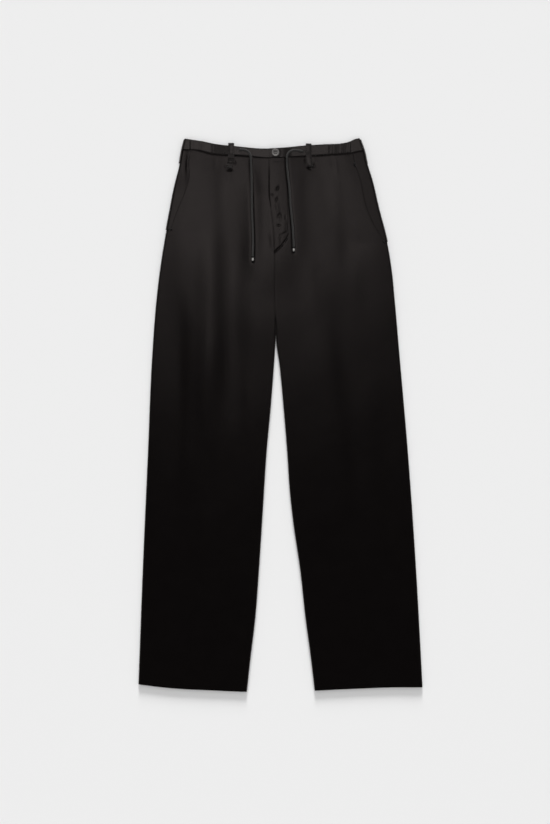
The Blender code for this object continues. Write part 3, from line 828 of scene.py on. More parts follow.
# Camera, floor and light
VIEW_WIDTH = 1.1
VIEW_HEIGHT = 4.0
VIEW_CENTRE = (-0.011, 0.0059)
FLOOR_REACH = 6
SOFT_LIGHT = 0.685
WALL_GLOW = 0.55
WALL_TOP_START = 0.05
WALL_TOP_END = 0.95
LOW_SUN = 5.5
LOW_SUN_SPREAD = math.radians(14)
LOW_SUN_TILT = math.radians(-78)
SOFTBOX_HEIGHT = 4.0
# Softboxes. Columns: side, x, y, width, length, power
SOFTBOXES = (
    ("right", -0.339, 0.89, 0.5, 0.78, 1.98),
    ("left", 0.261, 0.90, 0.7, 0.72, 1.21),
)


def make_camera():
    """Straight above the trousers, with 2 mm of the floor to a pixel of the picture."""
    data = bpy.data.cameras.new("camera")
    data.sensor_fit = "HORIZONTAL"
    data.sensor_width = 36
    data.lens = data.sensor_width * VIEW_HEIGHT / VIEW_WIDTH
    camera = add_object("camera", data)
    camera.location = (*VIEW_CENTRE, VIEW_HEIGHT)
    bpy.context.scene.camera = camera


def make_floor():
    values = {"Base Color": (0.8, 0.8, 0.8, 1), "Roughness": 0.9, "Specular IOR Level": 0.0}
    made, tree, shader = new_material("pale_floor", values)
    corners = [(FLOOR_REACH * x, FLOOR_REACH * y, 0) for x, y in ((-1, -1), (1, -1), (1, 1), (-1, 1))]
    floor = shape("floor", corners, [(0, 1, 2, 3)], made)


def make_studio():
    """Even soft light from all round. What shines mirrors pale walls and a dark ceiling."""
    world = bpy.data.worlds.new("studio")
    bpy.context.scene.world = world
    world.use_nodes = True
    tree = world.node_tree
    direction = add_node(tree, "ShaderNodeTexCoord").outputs["Generated"]
    height = add_node(tree, "ShaderNodeSeparateXYZ", {"Vector": direction}).outputs["Z"]
    walls = add_node(tree, "ShaderNodeMapRange", {"Value": height, "To Min": WALL_GLOW, "To Max": 0.0})
    walls.interpolation_type = "SMOOTHSTEP"
    feed(tree, walls, {"From Min": WALL_TOP_START, "From Max": WALL_TOP_END})
    glossy = add_node(tree, "ShaderNodeLightPath").outputs["Is Glossy Ray"]
    strength = add_node(tree, "ShaderNodeMix", {0: glossy, 2: SOFT_LIGHT, 3: walls.outputs["Result"]})
    feed(tree, tree.nodes["Background"], {"Color": (1, 1, 1, 1), "Strength": strength.outputs[0]})


def make_lights():
    """A low light from beyond the waist, and two softboxes high above it."""
    low = bpy.data.lights.new("low_sun", "SUN")
    low.energy = LOW_SUN
    low.angle = LOW_SUN_SPREAD
    low_light = add_object("low_sun", low)
    low_light.rotation_euler = (LOW_SUN_TILT, 0, 0)
    low_light.visible_glossy = False
    for side, place_x, place_y, width, length, power in SOFTBOXES:
        box = bpy.data.lights.new(f"softbox_{side}", "AREA")
        box.shape = "RECTANGLE"
        box.size = width
        box.size_y = length
        box.energy = power
        softbox = add_object(f"softbox_{side}", box)
        softbox.location = (place_x, place_y, SOFTBOX_HEIGHT)
    bpy.context.scene.view_settings.view_transform = "Standard"


# Drawcords
CORD_DIAMETER = 0.0041
CORD_PRESS = 0.0006
CORD_PRESS_WIDTH = 0.0032
CORD_PRESS_FADE = 0.02
CORD_ON_CLOTH = 6
# Each free end's route from the band to its metal tip. Columns: x, y, z
CORD_RIGHT = (
    (-0.0820, 0.5301, 0.0072),
    (-0.0760, 0.5297, 0.0084),
    (-0.0698, 0.5286, 0.0089),
    (-0.0646, 0.5259, 0.0089),
    (-0.0610, 0.5211, 0.0089),
    (-0.0595, 0.5147, 0.0087),
    (-0.0588, 0.5039, 0.0082),
    (-0.0582, 0.4899, 0.0080),
    (-0.0578, 0.4739, 0.0080),
    (-0.0574, 0.4579, 0.0080),
    (-0.0572, 0.4379, 0.0080),
    (-0.0570, 0.4179, 0.0080),
    (-0.0564, 0.3959, 0.0080),
    (-0.0556, 0.3739, 0.0080),
    (-0.0550, 0.3559, 0.0080),
    (-0.0548, 0.3379, 0.0081),
    (-0.0552, 0.3259, 0.0083),
    (-0.0554, 0.3162, 0.0084),
)
CORD_LEFT = (
    (0.0450, 0.5267, 0.0072),
    (0.0370, 0.5279, 0.0084),
    (0.0300, 0.5286, 0.0090),
    (0.0234, 0.5279, 0.0096),
    (0.0178, 0.5251, 0.0103),
    (0.0142, 0.5199, 0.0106),
    (0.0128, 0.5127, 0.0102),
    (0.0128, 0.5039, 0.0090),
    (0.0133, 0.4939, 0.0085),
    (0.0150, 0.4759, 0.0081),
    (0.0174, 0.4557, 0.0080),
    (0.0190, 0.4359, 0.0080),
    (0.0202, 0.4163, 0.0080),
    (0.0220, 0.3989, 0.0080),
    (0.0236, 0.3823, 0.0080),
    (0.0248, 0.3679, 0.0080),
    (0.0256, 0.3539, 0.0081),
    (0.0262, 0.3432, 0.0083),
    (0.0264, 0.3352, 0.0084),
)
CORD_STEP = 0.0006
CORD_SIDES = 24
BRAID_STRANDS = 4
BRAID_PITCH = 0.011
BRAID_RELIEF = 0.07


def smooth_route(points, step):
    """Points a step apart on a smooth curve through a route's points."""
    points = np.array(points, float)
    travelled = np.concatenate([[0], np.cumsum(np.linalg.norm(np.diff(points, axis=0), axis=1))])
    count = max(2, round(travelled[-1] / step) + 1)
    places = np.linspace(0, travelled[-1], count)
    return np.stack(columns_along(np.column_stack([travelled, points]), places), axis=1)


def make_cord(side, route, material):
    """A round braided cord: strands wind both ways, and each crossing stands a little proud."""
    path = smooth_route(route, CORD_STEP)
    ahead = np.gradient(path, axis=0)
    ahead /= np.linalg.norm(ahead, axis=1, keepdims=True)
    aside = np.cross(ahead, (0, 0, 1))
    aside /= np.linalg.norm(aside, axis=1, keepdims=True)
    above = np.cross(aside, ahead)
    angles = 2 * math.pi * np.arange(CORD_SIDES) / CORD_SIDES
    turn = 2 * math.pi * CORD_STEP * np.arange(len(path))[:, None] / BRAID_PITCH
    one_way = np.cos(BRAID_STRANDS * (angles[None, :] + turn))
    other_way = np.cos(BRAID_STRANDS * (angles[None, :] - turn))
    relief = np.maximum(one_way, other_way)
    radius = CORD_DIAMETER / 2 * (1 - BRAID_RELIEF + BRAID_RELIEF * relief)
    rings = path[:, None, :] + radius[..., None] * (
        aside[:, None, :] * np.cos(angles)[None, :, None] + above[:, None, :] * np.sin(angles)[None, :, None]
    )
    index = np.arange(len(path) * CORD_SIDES).reshape(len(path), CORD_SIDES)
    after = np.roll(index, -1, axis=1)
    faces = np.stack([index[:-1], index[1:], after[1:], after[:-1]], axis=-1).reshape(-1, 4).tolist()
    faces.append(index[0].tolist())
    faces.append(index[-1][::-1].tolist())
    cord = shape(f"cord_{side}", rings.reshape(-1, 3), faces, material)
    tie(cord, f"drawcord_{side}")


# Metal tips
TIP_SIDES = 40
TIP_SLIMNESS = 0.86
TIP_FLAT = 0.88
# Stretches of painted shade, as shares of a tip's length: at its cord end and at its far end
PAINTED_SHADE_UNTIL = (0.16, 0.24)
PAINTED_SHADE_FROM = (0.68, 0.75)
# Turned profile at the cord's end. Columns: share of the radius, distance
TIP_START = ((0, 0), (0.84, 0), (0.97, 0.0003), (1, 0.0008))
# A crimped ring, round its middle. Columns: share of the radius, share of the length
TIP_RING = ((1, -0.03), (0.93, -0.012), (0.93, 0.012), (1, 0.03))
TIP_RING_PLACES = (0.16, 0.30)
# The collar and the recessed far end. Columns: share of the radius, share of the length
TIP_END = (
    (1, 0.70),
    (0.92, 0.725),
    (0.92, 0.765),
    (1, 0.79),
    (1, 0.95),
    (0.93, 0.985),
    (0.82, 1),
    (0.62, 0.98),
    (0.60, 0.82),
    (0, 0.82),
)


def turned(name, profile, sides, material):
    """A solid turned about Z from a profile of (radius, z) whose two ends lie on the axis."""
    vertices = []
    rings = []
    for radius, z in profile:
        angles = [0] if radius == 0 else [2 * math.pi * i / sides for i in range(sides)]
        rings.append(range(len(vertices), len(vertices) + len(angles)))
        vertices += [(radius * math.cos(a), radius * math.sin(a), z) for a in angles]
    faces = []
    for low, high in zip(rings, rings[1:]):
        for i in range(sides):
            j = (i + 1) % sides
            corners = (low[i % len(low)], low[j % len(low)], high[j % len(high)], high[i % len(high)])
            faces.append(tuple(dict.fromkeys(corners)))
    made = shape(name, vertices, faces, material)
    made.data.set_sharp_from_angle(angle=SHARP_ANGLE)
    return made


def make_tip(side, material):
    """A metal barrel, pressed flat on top, with two crimped rings, a collar and a recessed far end."""
    low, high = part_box(f"cord_tip_{side}")
    length = high.y - low.y
    radius = TIP_SLIMNESS * (high.x - low.x) / 2
    profile = [(radius * width, z) for width, z in TIP_START]
    for place in TIP_RING_PLACES:
        profile += [(radius * width, length * (place + share)) for width, share in TIP_RING]
    profile += [(radius * width, length * share) for width, share in TIP_END]
    tip = turned(f"tip_{side}", profile, TIP_SIDES, material)
    centre = (low + high) / 2
    # Painted shade: how dark each point is, near both ends of the barrel
    painted_end_shade = tip.data.attributes.new("painted_end_shade", "FLOAT", "POINT")
    for vertex in tip.data.vertices:
        x, y, z = vertex.co
        dark = max(1 - ease(*PAINTED_SHADE_UNTIL, z / length), ease(*PAINTED_SHADE_FROM, z / length))
        painted_end_shade.data[vertex.index].value = float(dark)
        vertex.co = (centre.x + x, high.y - z, centre.z + min(y, TIP_FLAT * radius))
    tie(tip, f"cord_tip_{side}")
    return tip


# Legs
# Stretches of a front's columns from the fly to the pocket. Columns: start, end, number
FRONT_COLUMNS = ((0, 0.21, 40), (0.21, 0.93, 56), (0.93, 1, 14))
POCKET_END_ROWS = (-0.0005, 0.003)
ROW_CLEAR = 0.0008
BACK_WIDTH = 0.24


def front_levels(pocket_end):
    """Levels of a front's rows, close near the waist, with two rows at the pocket's end."""
    fine = np.arange(WAIST_LEVEL, FINE_UNTIL, FINE_ROW)
    coarse = np.linspace(FINE_UNTIL, HEM_LEVEL, round((HEM_LEVEL - FINE_UNTIL) / LEG_ROW))
    levels = np.concatenate([fine, coarse])
    before, after = (pocket_end + offset for offset in POCKET_END_ROWS)
    kept = levels[(levels < before - ROW_CLEAR) | (levels > after + ROW_CLEAR)]
    return np.sort(np.concatenate([kept, [before, after]]))


def front_columns():
    """Places of a front's columns, closest at the fly and close at the pocket."""
    return np.concatenate([[0], *(np.linspace(*stretch)[1:] for stretch in FRONT_COLUMNS)])


def front_roll(pocket):
    """The front's outer side is flat along the pocket's opening, and rolls over below it."""
    return lambda down: float(down > pocket[-1][0])


def make_fronts(material):
    rim = CLOTH_MEET + GAP / 2
    from_fly = front_columns()
    for side, pocket, left, right, height, relief, shares, roll_left, roll_right in (
        (
            "right",
            POCKET_RIGHT,
            front_outer(POCKET_RIGHT, side_right),
            front_right_inner,
            front_right_height,
            front_right_relief,
            1 - from_fly[::-1],
            front_roll(POCKET_RIGHT),
            crotch_roll,
        ),
        (
            "left",
            POCKET_LEFT,
            front_left_inner,
            front_outer(POCKET_LEFT, side_left),
            front_left_height,
            front_left_relief,
            from_fly,
            crotch_roll,
            front_roll(POCKET_LEFT),
        ),
    ):
        levels = front_levels(pocket[-1][0])
        points = panel(levels, cloth_down, left, right, height, shares, CLOTH, rim, roll_left, roll_right)
        lift = relief(*place_of(points))
        cloth_piece(f"front_{side}", points, CLOTH, material, lift)


def make_backs(material):
    rim = CLOTH_MEET - GAP / 2
    shares = np.linspace(0, 1, round(BACK_WIDTH / BACK_STEP))
    levels = np.linspace(WAIST_LEVEL, HEM_LEVEL, round((HEM_LEVEL - WAIST_LEVEL) / BACK_STEP))
    height = level_height(BACK_LEVEL)
    for side, left, right, *rolls in (
        ("right", side_right, back_right_inner, full_roll, crotch_roll),
        ("left", back_left_inner, side_left, crotch_roll, full_roll),
    ):
        points = panel(levels, cloth_down_back, left, right, height, shares, CLOTH, rim, *rolls)
        cloth_piece(f"back_{side}", points, CLOTH, material)


def tucked(pocket, way):
    """The inner edge of a pocket's side piece, tucked under the front."""
    return lambda down: along(pocket, down) + way * POCKET_TUCK


def make_pocket_sides(material):
    """The strips that show beside the slanted openings. Their inner edges are tucked under the fronts."""
    rim = CLOTH_MEET + GAP / 2
    height = level_height(FRONT_LEVEL)
    shares = np.linspace(0, 1, POCKET_SIDE_COLUMNS)
    for side, pocket, left, right, *rolls in (
        ("right", POCKET_RIGHT, side_right, tucked(POCKET_RIGHT, 1), full_roll, no_roll),
        ("left", POCKET_LEFT, tucked(POCKET_LEFT, -1), side_left, no_roll, full_roll),
    ):
        levels = np.arange(WAIST_LEVEL, pocket[-1][0] - POCKET_SIDE_SHORT, FINE_ROW)
        points = panel(levels, cloth_down, left, right, height, shares, CLOTH, rim, *rolls)
        x, down = place_of(points)
        outwards = (x - along(pocket, down)) * (1 if side == "left" else -1)
        flush = POCKET_FLUSH * ease(*POCKET_FLUSH_START, outwards)
        hollow = groove(outwards, *POCKET_HOLLOW)
        valley = 1 - ease(*POCKET_HOLLOW_END, down) if side == "right" else np.zeros_like(down)
        sunk = valley * hollow - (1 - valley) * flush
        lift = creases_at(x, down) - sunk - sunk_waist_seam(x, down)
        cloth_piece(f"pocket_side_{side}", points, CLOTH, material, lift)


# Waistband
BAND_ROWS = 21
BAND_STEP = 0.0008
BAND_EDGE_DROP = 0.0004
BAND_TOP_ROUNDED = 0.06
BAND_SEAM_FROM = 0.91
BUTTON_PULL = (-0.5, 0.9)
BUTTON_PULL_REACH = 0.0016
# Gathers of the elastic. Columns: start x, end x, number, height
GATHERS_RIGHT = ((-0.178, -0.150, 4, 0.00007), (-0.140, -0.104, 8, 0.00040))
GATHERS_LEFT = ((0.098, 0.139, 8, 0.00028),)
GATHERS_BACK = ((-0.196, -0.182, 3, 0.00008), (0.142, 0.160, 3, 0.00006))
GATHER_START = (-0.03, 0.12)
GATHER_END = (0.9, 1.03)
GATHER_WANDER = 0.25
GATHER_LEAN = 0.18
GATHER_RIPPLE = 0.3


def gather_relief(x, share, gathers):
    """Uneven waves of the elastic: each has its own height and leans a little."""
    total = 0.0
    for start, end, count, height in gathers:
        place = (x - start) / (end - start)
        inside = ease(*GATHER_START, place) * (1 - ease(*GATHER_END, place))
        wander = GATHER_WANDER * np.sin(7 * place + 2 * share)
        phase = 2 * math.pi * (count * place + wander + GATHER_LEAN * share)
        ripple = GATHER_RIPPLE * np.sin(2.3 * phase + 3 * share)
        uneven = 0.75 + 0.35 * np.sin(11.3 * place * count / 5 + 1.7)
        total = total + height * inside * uneven * (np.sin(phase) + ripple)
    return total


def band_edges_relief(x, share):
    """The band's folded top edge rounds over, and its lower edge and its ends sink into the seams."""
    top = BAND_EDGE_DROP * (1 - ease(0, BAND_TOP_ROUNDED, share))
    seam = BAND_EDGE_DROP * seam_pull(x) * ease(BAND_SEAM_FROM, 1, share)
    return -top - seam - sum(groove(x - end, *BAND_END_GROOVE) for end in BAND_SEAMS)


def button_press(x, down):
    """The button's thread draws the band in around its lower side and the side to the wearer's left."""
    low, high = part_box("button")
    aside = x - (low.x + high.x) / 2
    below = down - LENGTH / 2 + (low.y + high.y) / 2
    away = np.hypot(aside, below)
    lower_left = ease(*BUTTON_PULL, (aside + 0.7 * below) / np.maximum(away, 0.001))
    return lower_left * groove(away - (high.x - low.x) / 2 - BUTTON_PULL_REACH, *BUTTON_GROOVE)


def band_left_height(x, down):
    """The wearer's left half of the band laps over the right half at the centre."""
    return BAND_LEVEL + BAND_OVERLAY * (1 - ease(BAND_STEP_START, BAND_STEP_END, x))


def band_top_at(x):
    """Height of the front band's outer side."""
    middle = band_left_height(x, 0) if x > 0 else BAND_LEVEL
    return middle + BAND / 2


def upright(x):
    """An edge that stays at one x."""
    return lambda down: x


def make_band(material):
    shares = np.linspace(0, 1, BAND_ROWS)
    level = level_height(BAND_LEVEL)
    half = GAP / 2
    for name, left, right, height, gathers in (
        ("band_side_right", BAND_END_RIGHT + half, BAND_SEAM_RIGHT - half, level, GATHERS_RIGHT),
        ("band_front_right", BAND_SEAM_RIGHT + half, BAND_EDGE + BAND_UNDERLAP, level, ()),
        ("band_front_left", BAND_EDGE, BAND_SEAM_LEFT - half, band_left_height, ()),
        ("band_side_left", BAND_SEAM_LEFT + half, BAND_END_LEFT - half, level, GATHERS_LEFT),
    ):
        columns = np.linspace(0, 1, round((right - left) / BAND_STEP))
        edges = (upright(left), upright(right))
        points = panel(shares, band_down, *edges, height, columns, BAND, BAND_MEET, no_roll, no_roll)
        x, down = place_of(points)
        top = along(WAIST_TOP, x)
        share = (down - top) / (along(WAIST_SEAM, x) - GAP - top)
        lift = band_edges_relief(x, share) + gather_relief(x, share, gathers) - button_press(x, down)
        cloth_piece(name, points, BAND, material, lift)
    make_band_back(material, shares)


def make_band_back(material, shares):
    """The back of the band lies flat and wraps both side folds to the seams at the front."""
    radius = (BAND_LEVEL - BAND_BACK_LEVEL) / 2
    inset = radius + BAND / 2
    turn = np.linspace(0, math.pi, 15)
    back = turn[::-1]
    grid = []
    for share in shares:
        x_right = edge_of(side_right, band_down, share) + inset
        x_left = edge_of(side_left, band_down, share) - inset
        # Each stretch: x, height, and how far behind it lies, from 0 at the front to 1
        stretches = (
            (np.linspace(BAND_END_RIGHT - GAP / 2, x_right, 8)[:-1], BAND_LEVEL, 0),
            (x_right - radius * np.sin(turn), BAND_MEET + radius * np.cos(turn), turn / math.pi),
            (np.linspace(x_right, x_left, 120)[1:-1], BAND_BACK_LEVEL, 1),
            (x_left + radius * np.sin(back), BAND_MEET + radius * np.cos(back), back / math.pi),
            (np.linspace(x_left, BAND_END_LEFT + GAP / 2, 10)[1:], BAND_LEVEL, 0),
        )
        x, z, behind = np.concatenate([np.broadcast_arrays(*stretch) for stretch in stretches], axis=1)
        down = (1 - behind) * band_down(x, share) + behind * band_down(x, share, WAIST_SEAM_BACK)
        grid.append(np.stack([x, LENGTH / 2 - down, z], axis=1))
    points = np.array(grid)
    x = points[..., 0]
    share = np.broadcast_to(shares[:, None], x.shape)
    at_front = points[..., 2] > BAND_MEET
    lift = at_front * (band_edges_relief(x, share) + gather_relief(x, share, GATHERS_BACK))
    cloth_piece(
        "band_back", points, BAND, material, lift
    )


# Belt loops
LOOP_COLUMNS = 17
LOOP_STEP = 0.0005
LOOP_LEAN = 0.0005
LOOP_EDGE_DROP = 0.0001
LOOP_STITCH_PLACE = 0.36
SIDE_LOOP_TOP = 0.0030
SIDE_LOOP_END_RIGHT = 0.0505
SIDE_LOOP_END_LEFT = 0.0515
SIDE_LOOP_FLARE = 0.0007
SIDE_LOOP_FLARED = 0.8
SIDE_LOOP_LOW = math.radians(-30)
SIDE_LOOP_HIGH = math.radians(62)
# Front loops. Columns: down, x, height of the middle of the strip, width
LOOP_FRONT_RIGHT = (
    (0.0100, -0.0985, 0.0072, 0.0116),
    (0.0160, -0.0985, 0.0072, 0.0116),
    (0.0250, -0.0986, 0.0073, 0.0116),
    (0.0335, -0.0986, 0.0077, 0.0118),
    (0.0372, -0.0986, 0.0086, 0.0122),
    (0.0402, -0.0988, 0.0092, 0.0124),
    (0.0425, -0.0992, 0.0084, 0.0124),
    (0.0440, -0.0996, 0.0075, 0.0122),
    (0.0465, -0.1000, 0.0080, 0.0120),
    (0.0490, -0.1004, 0.0080, 0.0118),
    (0.0514, -0.1010, 0.0073, 0.0114),
    (0.0538, -0.1016, 0.0082, 0.0114),
    (0.0600, -0.1022, 0.0083, 0.0114),
)
LOOP_FRONT_LEFT = (
    (0.0112, 0.0560, 0.0071, 0.0112),
    (0.0180, 0.0562, 0.0072, 0.0112),
    (0.0270, 0.0564, 0.0074, 0.0112),
    (0.0350, 0.0567, 0.0080, 0.0110),
    (0.0420, 0.0573, 0.0083, 0.0106),
    (0.0480, 0.0581, 0.0083, 0.0104),
    (0.0525, 0.0591, 0.0083, 0.0104),
    (0.0556, 0.0603, 0.0080, 0.0104),
    (0.0580, 0.0617, 0.0072, 0.0104),
)


def loop_droop(way, across):
    """How far a front loop's strip sags at this place across it: one side of it leans down."""
    return LOOP_LEAN * np.maximum(0, 2 * way * across) ** 2 + LOOP_EDGE_DROP * (2 * across) ** 6


def loop_points(rows, way, across, down, above=0.0):
    """Points of a front loop's strip, at places from -0.5 to 0.5 across it, above its middle surface."""
    x, z, width = columns_along(rows, down)
    height = z - loop_droop(way, across) + above
    return np.stack(np.broadcast_arrays(x + width * across, LENGTH / 2 - down, height), axis=-1)


def make_front_loops(material):
    """Strips longer than the band, fixed above it and below it, that buckle where they have spare length."""
    across = np.linspace(-0.5, 0.5, LOOP_COLUMNS)
    stitched_in = groove(np.abs(across) - LOOP_STITCH_PLACE, *LOOP_STITCH_GROOVE)
    for side, rows, way in (("right", LOOP_FRONT_RIGHT, -1), ("left", LOOP_FRONT_LEFT, 1)):
        start, end = rows[0][0], rows[-1][0]
        down = np.linspace(start, end, round((end - start) / LOOP_STEP))
        points = loop_points(rows, way, across, down[:, None])
        lift = np.broadcast_to(-stitched_in, points.shape[:2])
        cloth_piece(f"belt_loop_front_{side}", points, LOOP, material, lift)


def make_side_loops(material):
    """Strips folded round the side folds, standing just outside the band."""
    clear = BAND / 2 + GAP + LOOP / 2
    radius = (BAND_LEVEL - BAND_BACK_LEVEL) / 2
    angles = np.linspace(SIDE_LOOP_LOW, SIDE_LOOP_HIGH, 13)
    for name, side, way, end in (
        ("belt_loop_side_right", side_right, -1, SIDE_LOOP_END_RIGHT),
        ("belt_loop_side_left", side_left, 1, SIDE_LOOP_END_LEFT),
    ):
        turn = angles[::-way]
        grid = []
        for down in np.linspace(SIDE_LOOP_TOP, end, 40):
            middle = side(down) - way * (radius + BAND / 2)
            flare = SIDE_LOOP_FLARE * ease(SIDE_LOOP_TOP, SIDE_LOOP_FLARED * end, down)
            reach = radius + clear + flare
            x = middle + way * reach * np.cos(turn)
            y = np.full_like(turn, LENGTH / 2 - down)
            grid.append(np.stack([x, y, BAND_MEET + reach * np.sin(turn)], axis=1))
        cloth_piece(name, np.array(grid), LOOP, material)


# Stitches
STITCH_LENGTH = 0.0021
STITCH_SPACING = 0.0027
THREAD = 0.0005
TACK_WIDTH = 0.0022
TACK_SPACING = 0.00045
EYELET_LONG = 0.0075
EYELET_HIGH = 0.0030
EYELET_SHIFT = 0.2 * EYELET_LONG
EYELET_WIDTH = 0.0012
LOOP_STITCH_SEAT = LOOP / 2 - 0.0001
LOOP_EDGE_INSETS = (0.002, -0.001)
LOOP_BAR_INSETS = (0.0025, -0.0022)
LOOP_BAR_REACH = 0.38
# Short dense bars at the pockets' ends. Columns: side, x, down, to x, to down
POCKET_TACKS = (
    ("right", -0.1832, 0.0360, -0.1838, 0.0440),
    ("right", -0.2190, 0.1800, -0.2218, 0.1862),
    ("left", 0.1478, 0.0480, 0.1494, 0.0560),
    ("left", 0.2040, 0.2030, 0.2088, 0.2090),
)


def stitch_tree():
    """Geometry Nodes that set padded stitches along edges, each turned to its line."""
    tree = bpy.data.node_groups.new("stitches", "GeometryNodeTree")
    for name, kind in (
        ("Lines", "Geometry"),
        ("Spacing", "Float"),
        ("Length", "Float"),
        ("Width", "Float"),
        ("Thickness", "Float"),
        ("Thread", "Material"),
    ):
        tree.interface.new_socket(name, in_out="INPUT", socket_type=f"NodeSocket{kind}")
    tree.interface.new_socket("Stitches", in_out="OUTPUT", socket_type="NodeSocketGeometry")
    given = add_node(tree, "NodeGroupInput").outputs
    curve = add_node(tree, "GeometryNodeMeshToCurve", {"Mesh": given["Lines"]})
    resample = add_node(tree, "GeometryNodeResampleCurve")
    resample.mode = "LENGTH"
    feed(tree, resample, {"Curve": curve.outputs["Curve"], "Length": given["Spacing"]})
    tangent = add_node(tree, "GeometryNodeInputTangent")
    turn = add_node(tree, "FunctionNodeAlignRotationToVector", {"Vector": tangent.outputs["Tangent"]})
    turn.axis = "X"
    sizes = {"X": given["Length"], "Y": given["Width"], "Z": given["Thickness"]}
    scale = add_node(tree, "ShaderNodeCombineXYZ", sizes)
    bead = add_node(tree, "GeometryNodeMeshIcoSphere", {"Radius": 0.5, "Subdivisions": 2})
    beads = add_node(
        tree,
        "GeometryNodeInstanceOnPoints",
        {
            "Points": resample.outputs["Curve"],
            "Instance": bead.outputs["Mesh"],
            "Rotation": turn.outputs["Rotation"],
            "Scale": scale.outputs["Vector"],
        },
    )
    realize = add_node(tree, "GeometryNodeRealizeInstances", {"Geometry": beads.outputs["Instances"]})
    smooth = add_node(tree, "GeometryNodeSetShadeSmooth", {"Geometry": realize.outputs["Geometry"]})
    dressed = {"Geometry": smooth.outputs["Geometry"], "Material": given["Thread"]}
    finish = add_node(tree, "GeometryNodeSetMaterial", dressed)
    add_node(tree, "NodeGroupOutput", {"Stitches": finish.outputs["Geometry"]})
    return tree


def sew(name, tree, lines, spacing, length, width, thread):
    """Stitches along lines of points, as a plain mesh."""
    data = bpy.data.meshes.new(name)
    vertices, edges = [], []
    for line in lines:
        first = len(vertices)
        vertices += [tuple(point) for point in line]
        edges += [(first + i, first + i + 1) for i in range(len(line) - 1)]
    data.from_pydata(vertices, edges, [])
    piece = add_object(name, data)
    stitches = piece.modifiers.new("stitches", "NODES")
    stitches.node_group = tree
    sizes = {"Spacing": spacing, "Length": length, "Width": width, "Thickness": THREAD, "Thread": thread}
    for socket in tree.interface.items_tree:
        if socket.name in sizes:
            stitches[socket.identifier] = sizes[socket.name]
    bpy.context.view_layer.update()
    plain(piece)
    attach(piece, "root")


def on_front(side, x, down):
    """Points just on the outer side of a front."""
    x, down = np.asarray(x, float), np.asarray(down, float)
    height = front_right_height if side == "right" else front_left_height
    relief = front_right_relief if side == "right" else front_left_relief
    z = height(x, down) + CLOTH / 2 + relief(x, down) + THREAD / 4
    return np.stack([x, LENGTH / 2 - down, z], axis=1)


def fly_stitch_line():
    """The line of the fly's stitching: down from the waist seam, then slanting to the centre seam."""
    corners = [(x, down) for x, down, *rest in SEWN_LINES[4::-1]]
    corners.insert(0, SEWN_LINES[4][2:4])
    table = np.array([(down, x) for x, down in corners])
    down = np.linspace(table[0, 0], table[-1, 0], 160)
    return on_front("left", np.interp(down, table[:, 0], table[:, 1]), down)


def loop_lines():
    """The lines of the edge stitches and of the end bars of both front belt loops."""
    edges, bars = [], []
    across = np.linspace(-LOOP_BAR_REACH, LOOP_BAR_REACH, 20)
    for rows, way in ((LOOP_FRONT_RIGHT, -1), (LOOP_FRONT_LEFT, 1)):
        ends = np.array([rows[0][0], rows[-1][0]])
        down = np.linspace(*(ends + LOOP_EDGE_INSETS), 60)
        for place in (-LOOP_STITCH_PLACE, LOOP_STITCH_PLACE):
            edges.append(loop_points(rows, way, place, down, LOOP_STITCH_SEAT))
        for bar in ends + LOOP_BAR_INSETS:
            bars.append(loop_points(rows, way, across, bar, LOOP_STITCH_SEAT))
    return edges, bars


def eyelet_line(x, y, way):
    """The line of the stitching round the place where a cord comes out of the band."""
    turns = np.linspace(0, 2 * math.pi, 49)
    ring_x = x + way * EYELET_SHIFT + EYELET_LONG * np.cos(turns)
    ring_y = y + EYELET_HIGH * np.sin(turns)
    return np.stack([ring_x, ring_y, np.full_like(turns, band_top_at(x))], axis=1)


def button_lines():
    """The two straight lines of thread between the button's holes."""
    low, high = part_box("button")
    centre = (low + high) / 2
    top = low.z + BUTTON_DISH * (high.z - low.z) + THREAD / 3
    steps = np.linspace(-BUTTON_HOLE_OFFSET, BUTTON_HOLE_OFFSET, 8)
    return [[(centre.x + x, centre.y + y, top) for x in steps] for y in (steps[0], steps[-1])]


def make_stitches(thread):
    tree = stitch_tree()
    sew("fly_stitches", tree, [fly_stitch_line()], STITCH_SPACING, STITCH_LENGTH, THREAD, thread)
    edges, bars = loop_lines()
    sew("loop_stitches", tree, edges, STITCH_SPACING, STITCH_LENGTH, THREAD, thread)
    for side, x, down, to_x, to_down in POCKET_TACKS:
        bars.append(on_front(side, np.linspace(x, to_x, 12), np.linspace(down, to_down, 12)))
    sew("bar_tacks", tree, bars, TACK_SPACING, THREAD, TACK_WIDTH, thread)
    rings = [eyelet_line(*route[0][:2], way) for route, way in ((CORD_RIGHT, 1), (CORD_LEFT, -1))]
    sew("eyelet_stitches", tree, rings, TACK_SPACING, THREAD, EYELET_WIDTH, thread)
    sew("button_thread", tree, button_lines(), TACK_SPACING, 2 * THREAD, 1.6 * THREAD, thread)


# Button
BUTTON_SIDES = 64
BUTTON_DISH = 0.56
BUTTON_HOLE_RADIUS = 0.0009
BUTTON_HOLE_OFFSET = 0.0019
BUTTON_HOLE_SIDES = 20
# Turned profile below and inside the rounded rim. Columns: share of the radius, share of the thickness
BUTTON_FOOT = ((0, 0), (0.70, 0), (0.88, 0.12))
BUTTON_TOP = ((0.70, 0.80), (0.64, 0.64), (0.40, BUTTON_DISH + 0.02), (0, BUTTON_DISH))


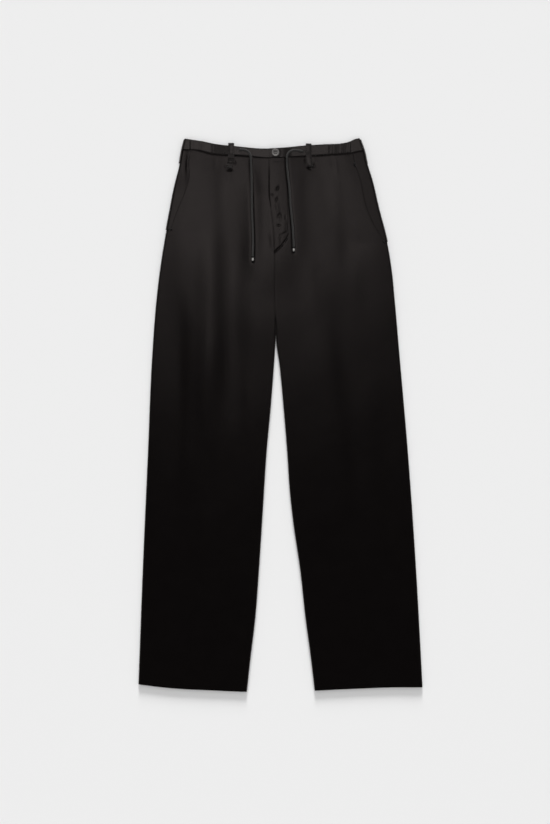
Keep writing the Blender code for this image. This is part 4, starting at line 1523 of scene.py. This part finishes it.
def make_button(material):
    """A four-hole button with a rounded raised rim and a dished middle."""
    low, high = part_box("button")
    centre = (low + high) / 2
    radius = (high.x - low.x) / 2
    thick = high.z - low.z
    angles = [math.radians(-60 + 25 * step) for step in range(9)]
    rim = [(0.86 + 0.14 * math.cos(a), 0.62 + 0.38 * math.sin(a)) for a in angles]
    profile = [(radius * out, thick * up) for out, up in (*BUTTON_FOOT, *rim, *BUTTON_TOP)]
    button = turned("button_disc", profile, BUTTON_SIDES, material)
    hole = [(0, -thick), (BUTTON_HOLE_RADIUS, -thick), (BUTTON_HOLE_RADIUS, 2 * thick), (0, 2 * thick)]
    cutters = []
    for x in (-BUTTON_HOLE_OFFSET, BUTTON_HOLE_OFFSET):
        for y in (-BUTTON_HOLE_OFFSET, BUTTON_HOLE_OFFSET):
            cutter = turned("hole", hole, BUTTON_HOLE_SIDES, material)
            cutter.location = (x, y, 0)
            cutters.append(cutter)
            cut = button.modifiers.new("hole", "BOOLEAN")
            cut.object = cutter
    bpy.context.view_layer.update()
    plain(button)
    for cutter in cutters:
        bpy.data.objects.remove(cutter)
    button.data.transform(Matrix.Translation((centre.x, centre.y, low.z)))
    button.data.set_sharp_from_angle(angle=SHARP_ANGLE)
    tie(button, "button")


def main():
    make_camera()
    satin = make_satin("black_satin", (0.0026, 0.0020, 0.0020), sheen=0.01)
    # Band and loops: the legs' black satin with a lighter base colour, as painted sheen
    band_satin_painted_sheen = make_satin("band_satin_painted_sheen", (0.0130, 0.0115, 0.0112), sheen=0.02)
    yarn = make_yarn("cord_yarn", (0.027, 0.0257, 0.025), roughness=0.7, grain=1400)
    metal = make_tip_metal()
    resin = make_button_grey()
    thread = make_yarn("sewing_thread", (0.014, 0.013, 0.013), roughness=0.55, grain=2600)
    for side, route in (("right", CORD_RIGHT), ("left", CORD_LEFT)):
        tip = make_tip(side, metal)
        make_cord(side, route, yarn)
    make_floor()
    make_studio()
    make_lights()
    make_fronts(satin)
    make_backs(satin)
    make_pocket_sides(satin)
    make_band(band_satin_painted_sheen)
    make_front_loops(band_satin_painted_sheen)
    make_side_loops(band_satin_painted_sheen)
    make_button(resin)
    make_stitches(thread)


main()
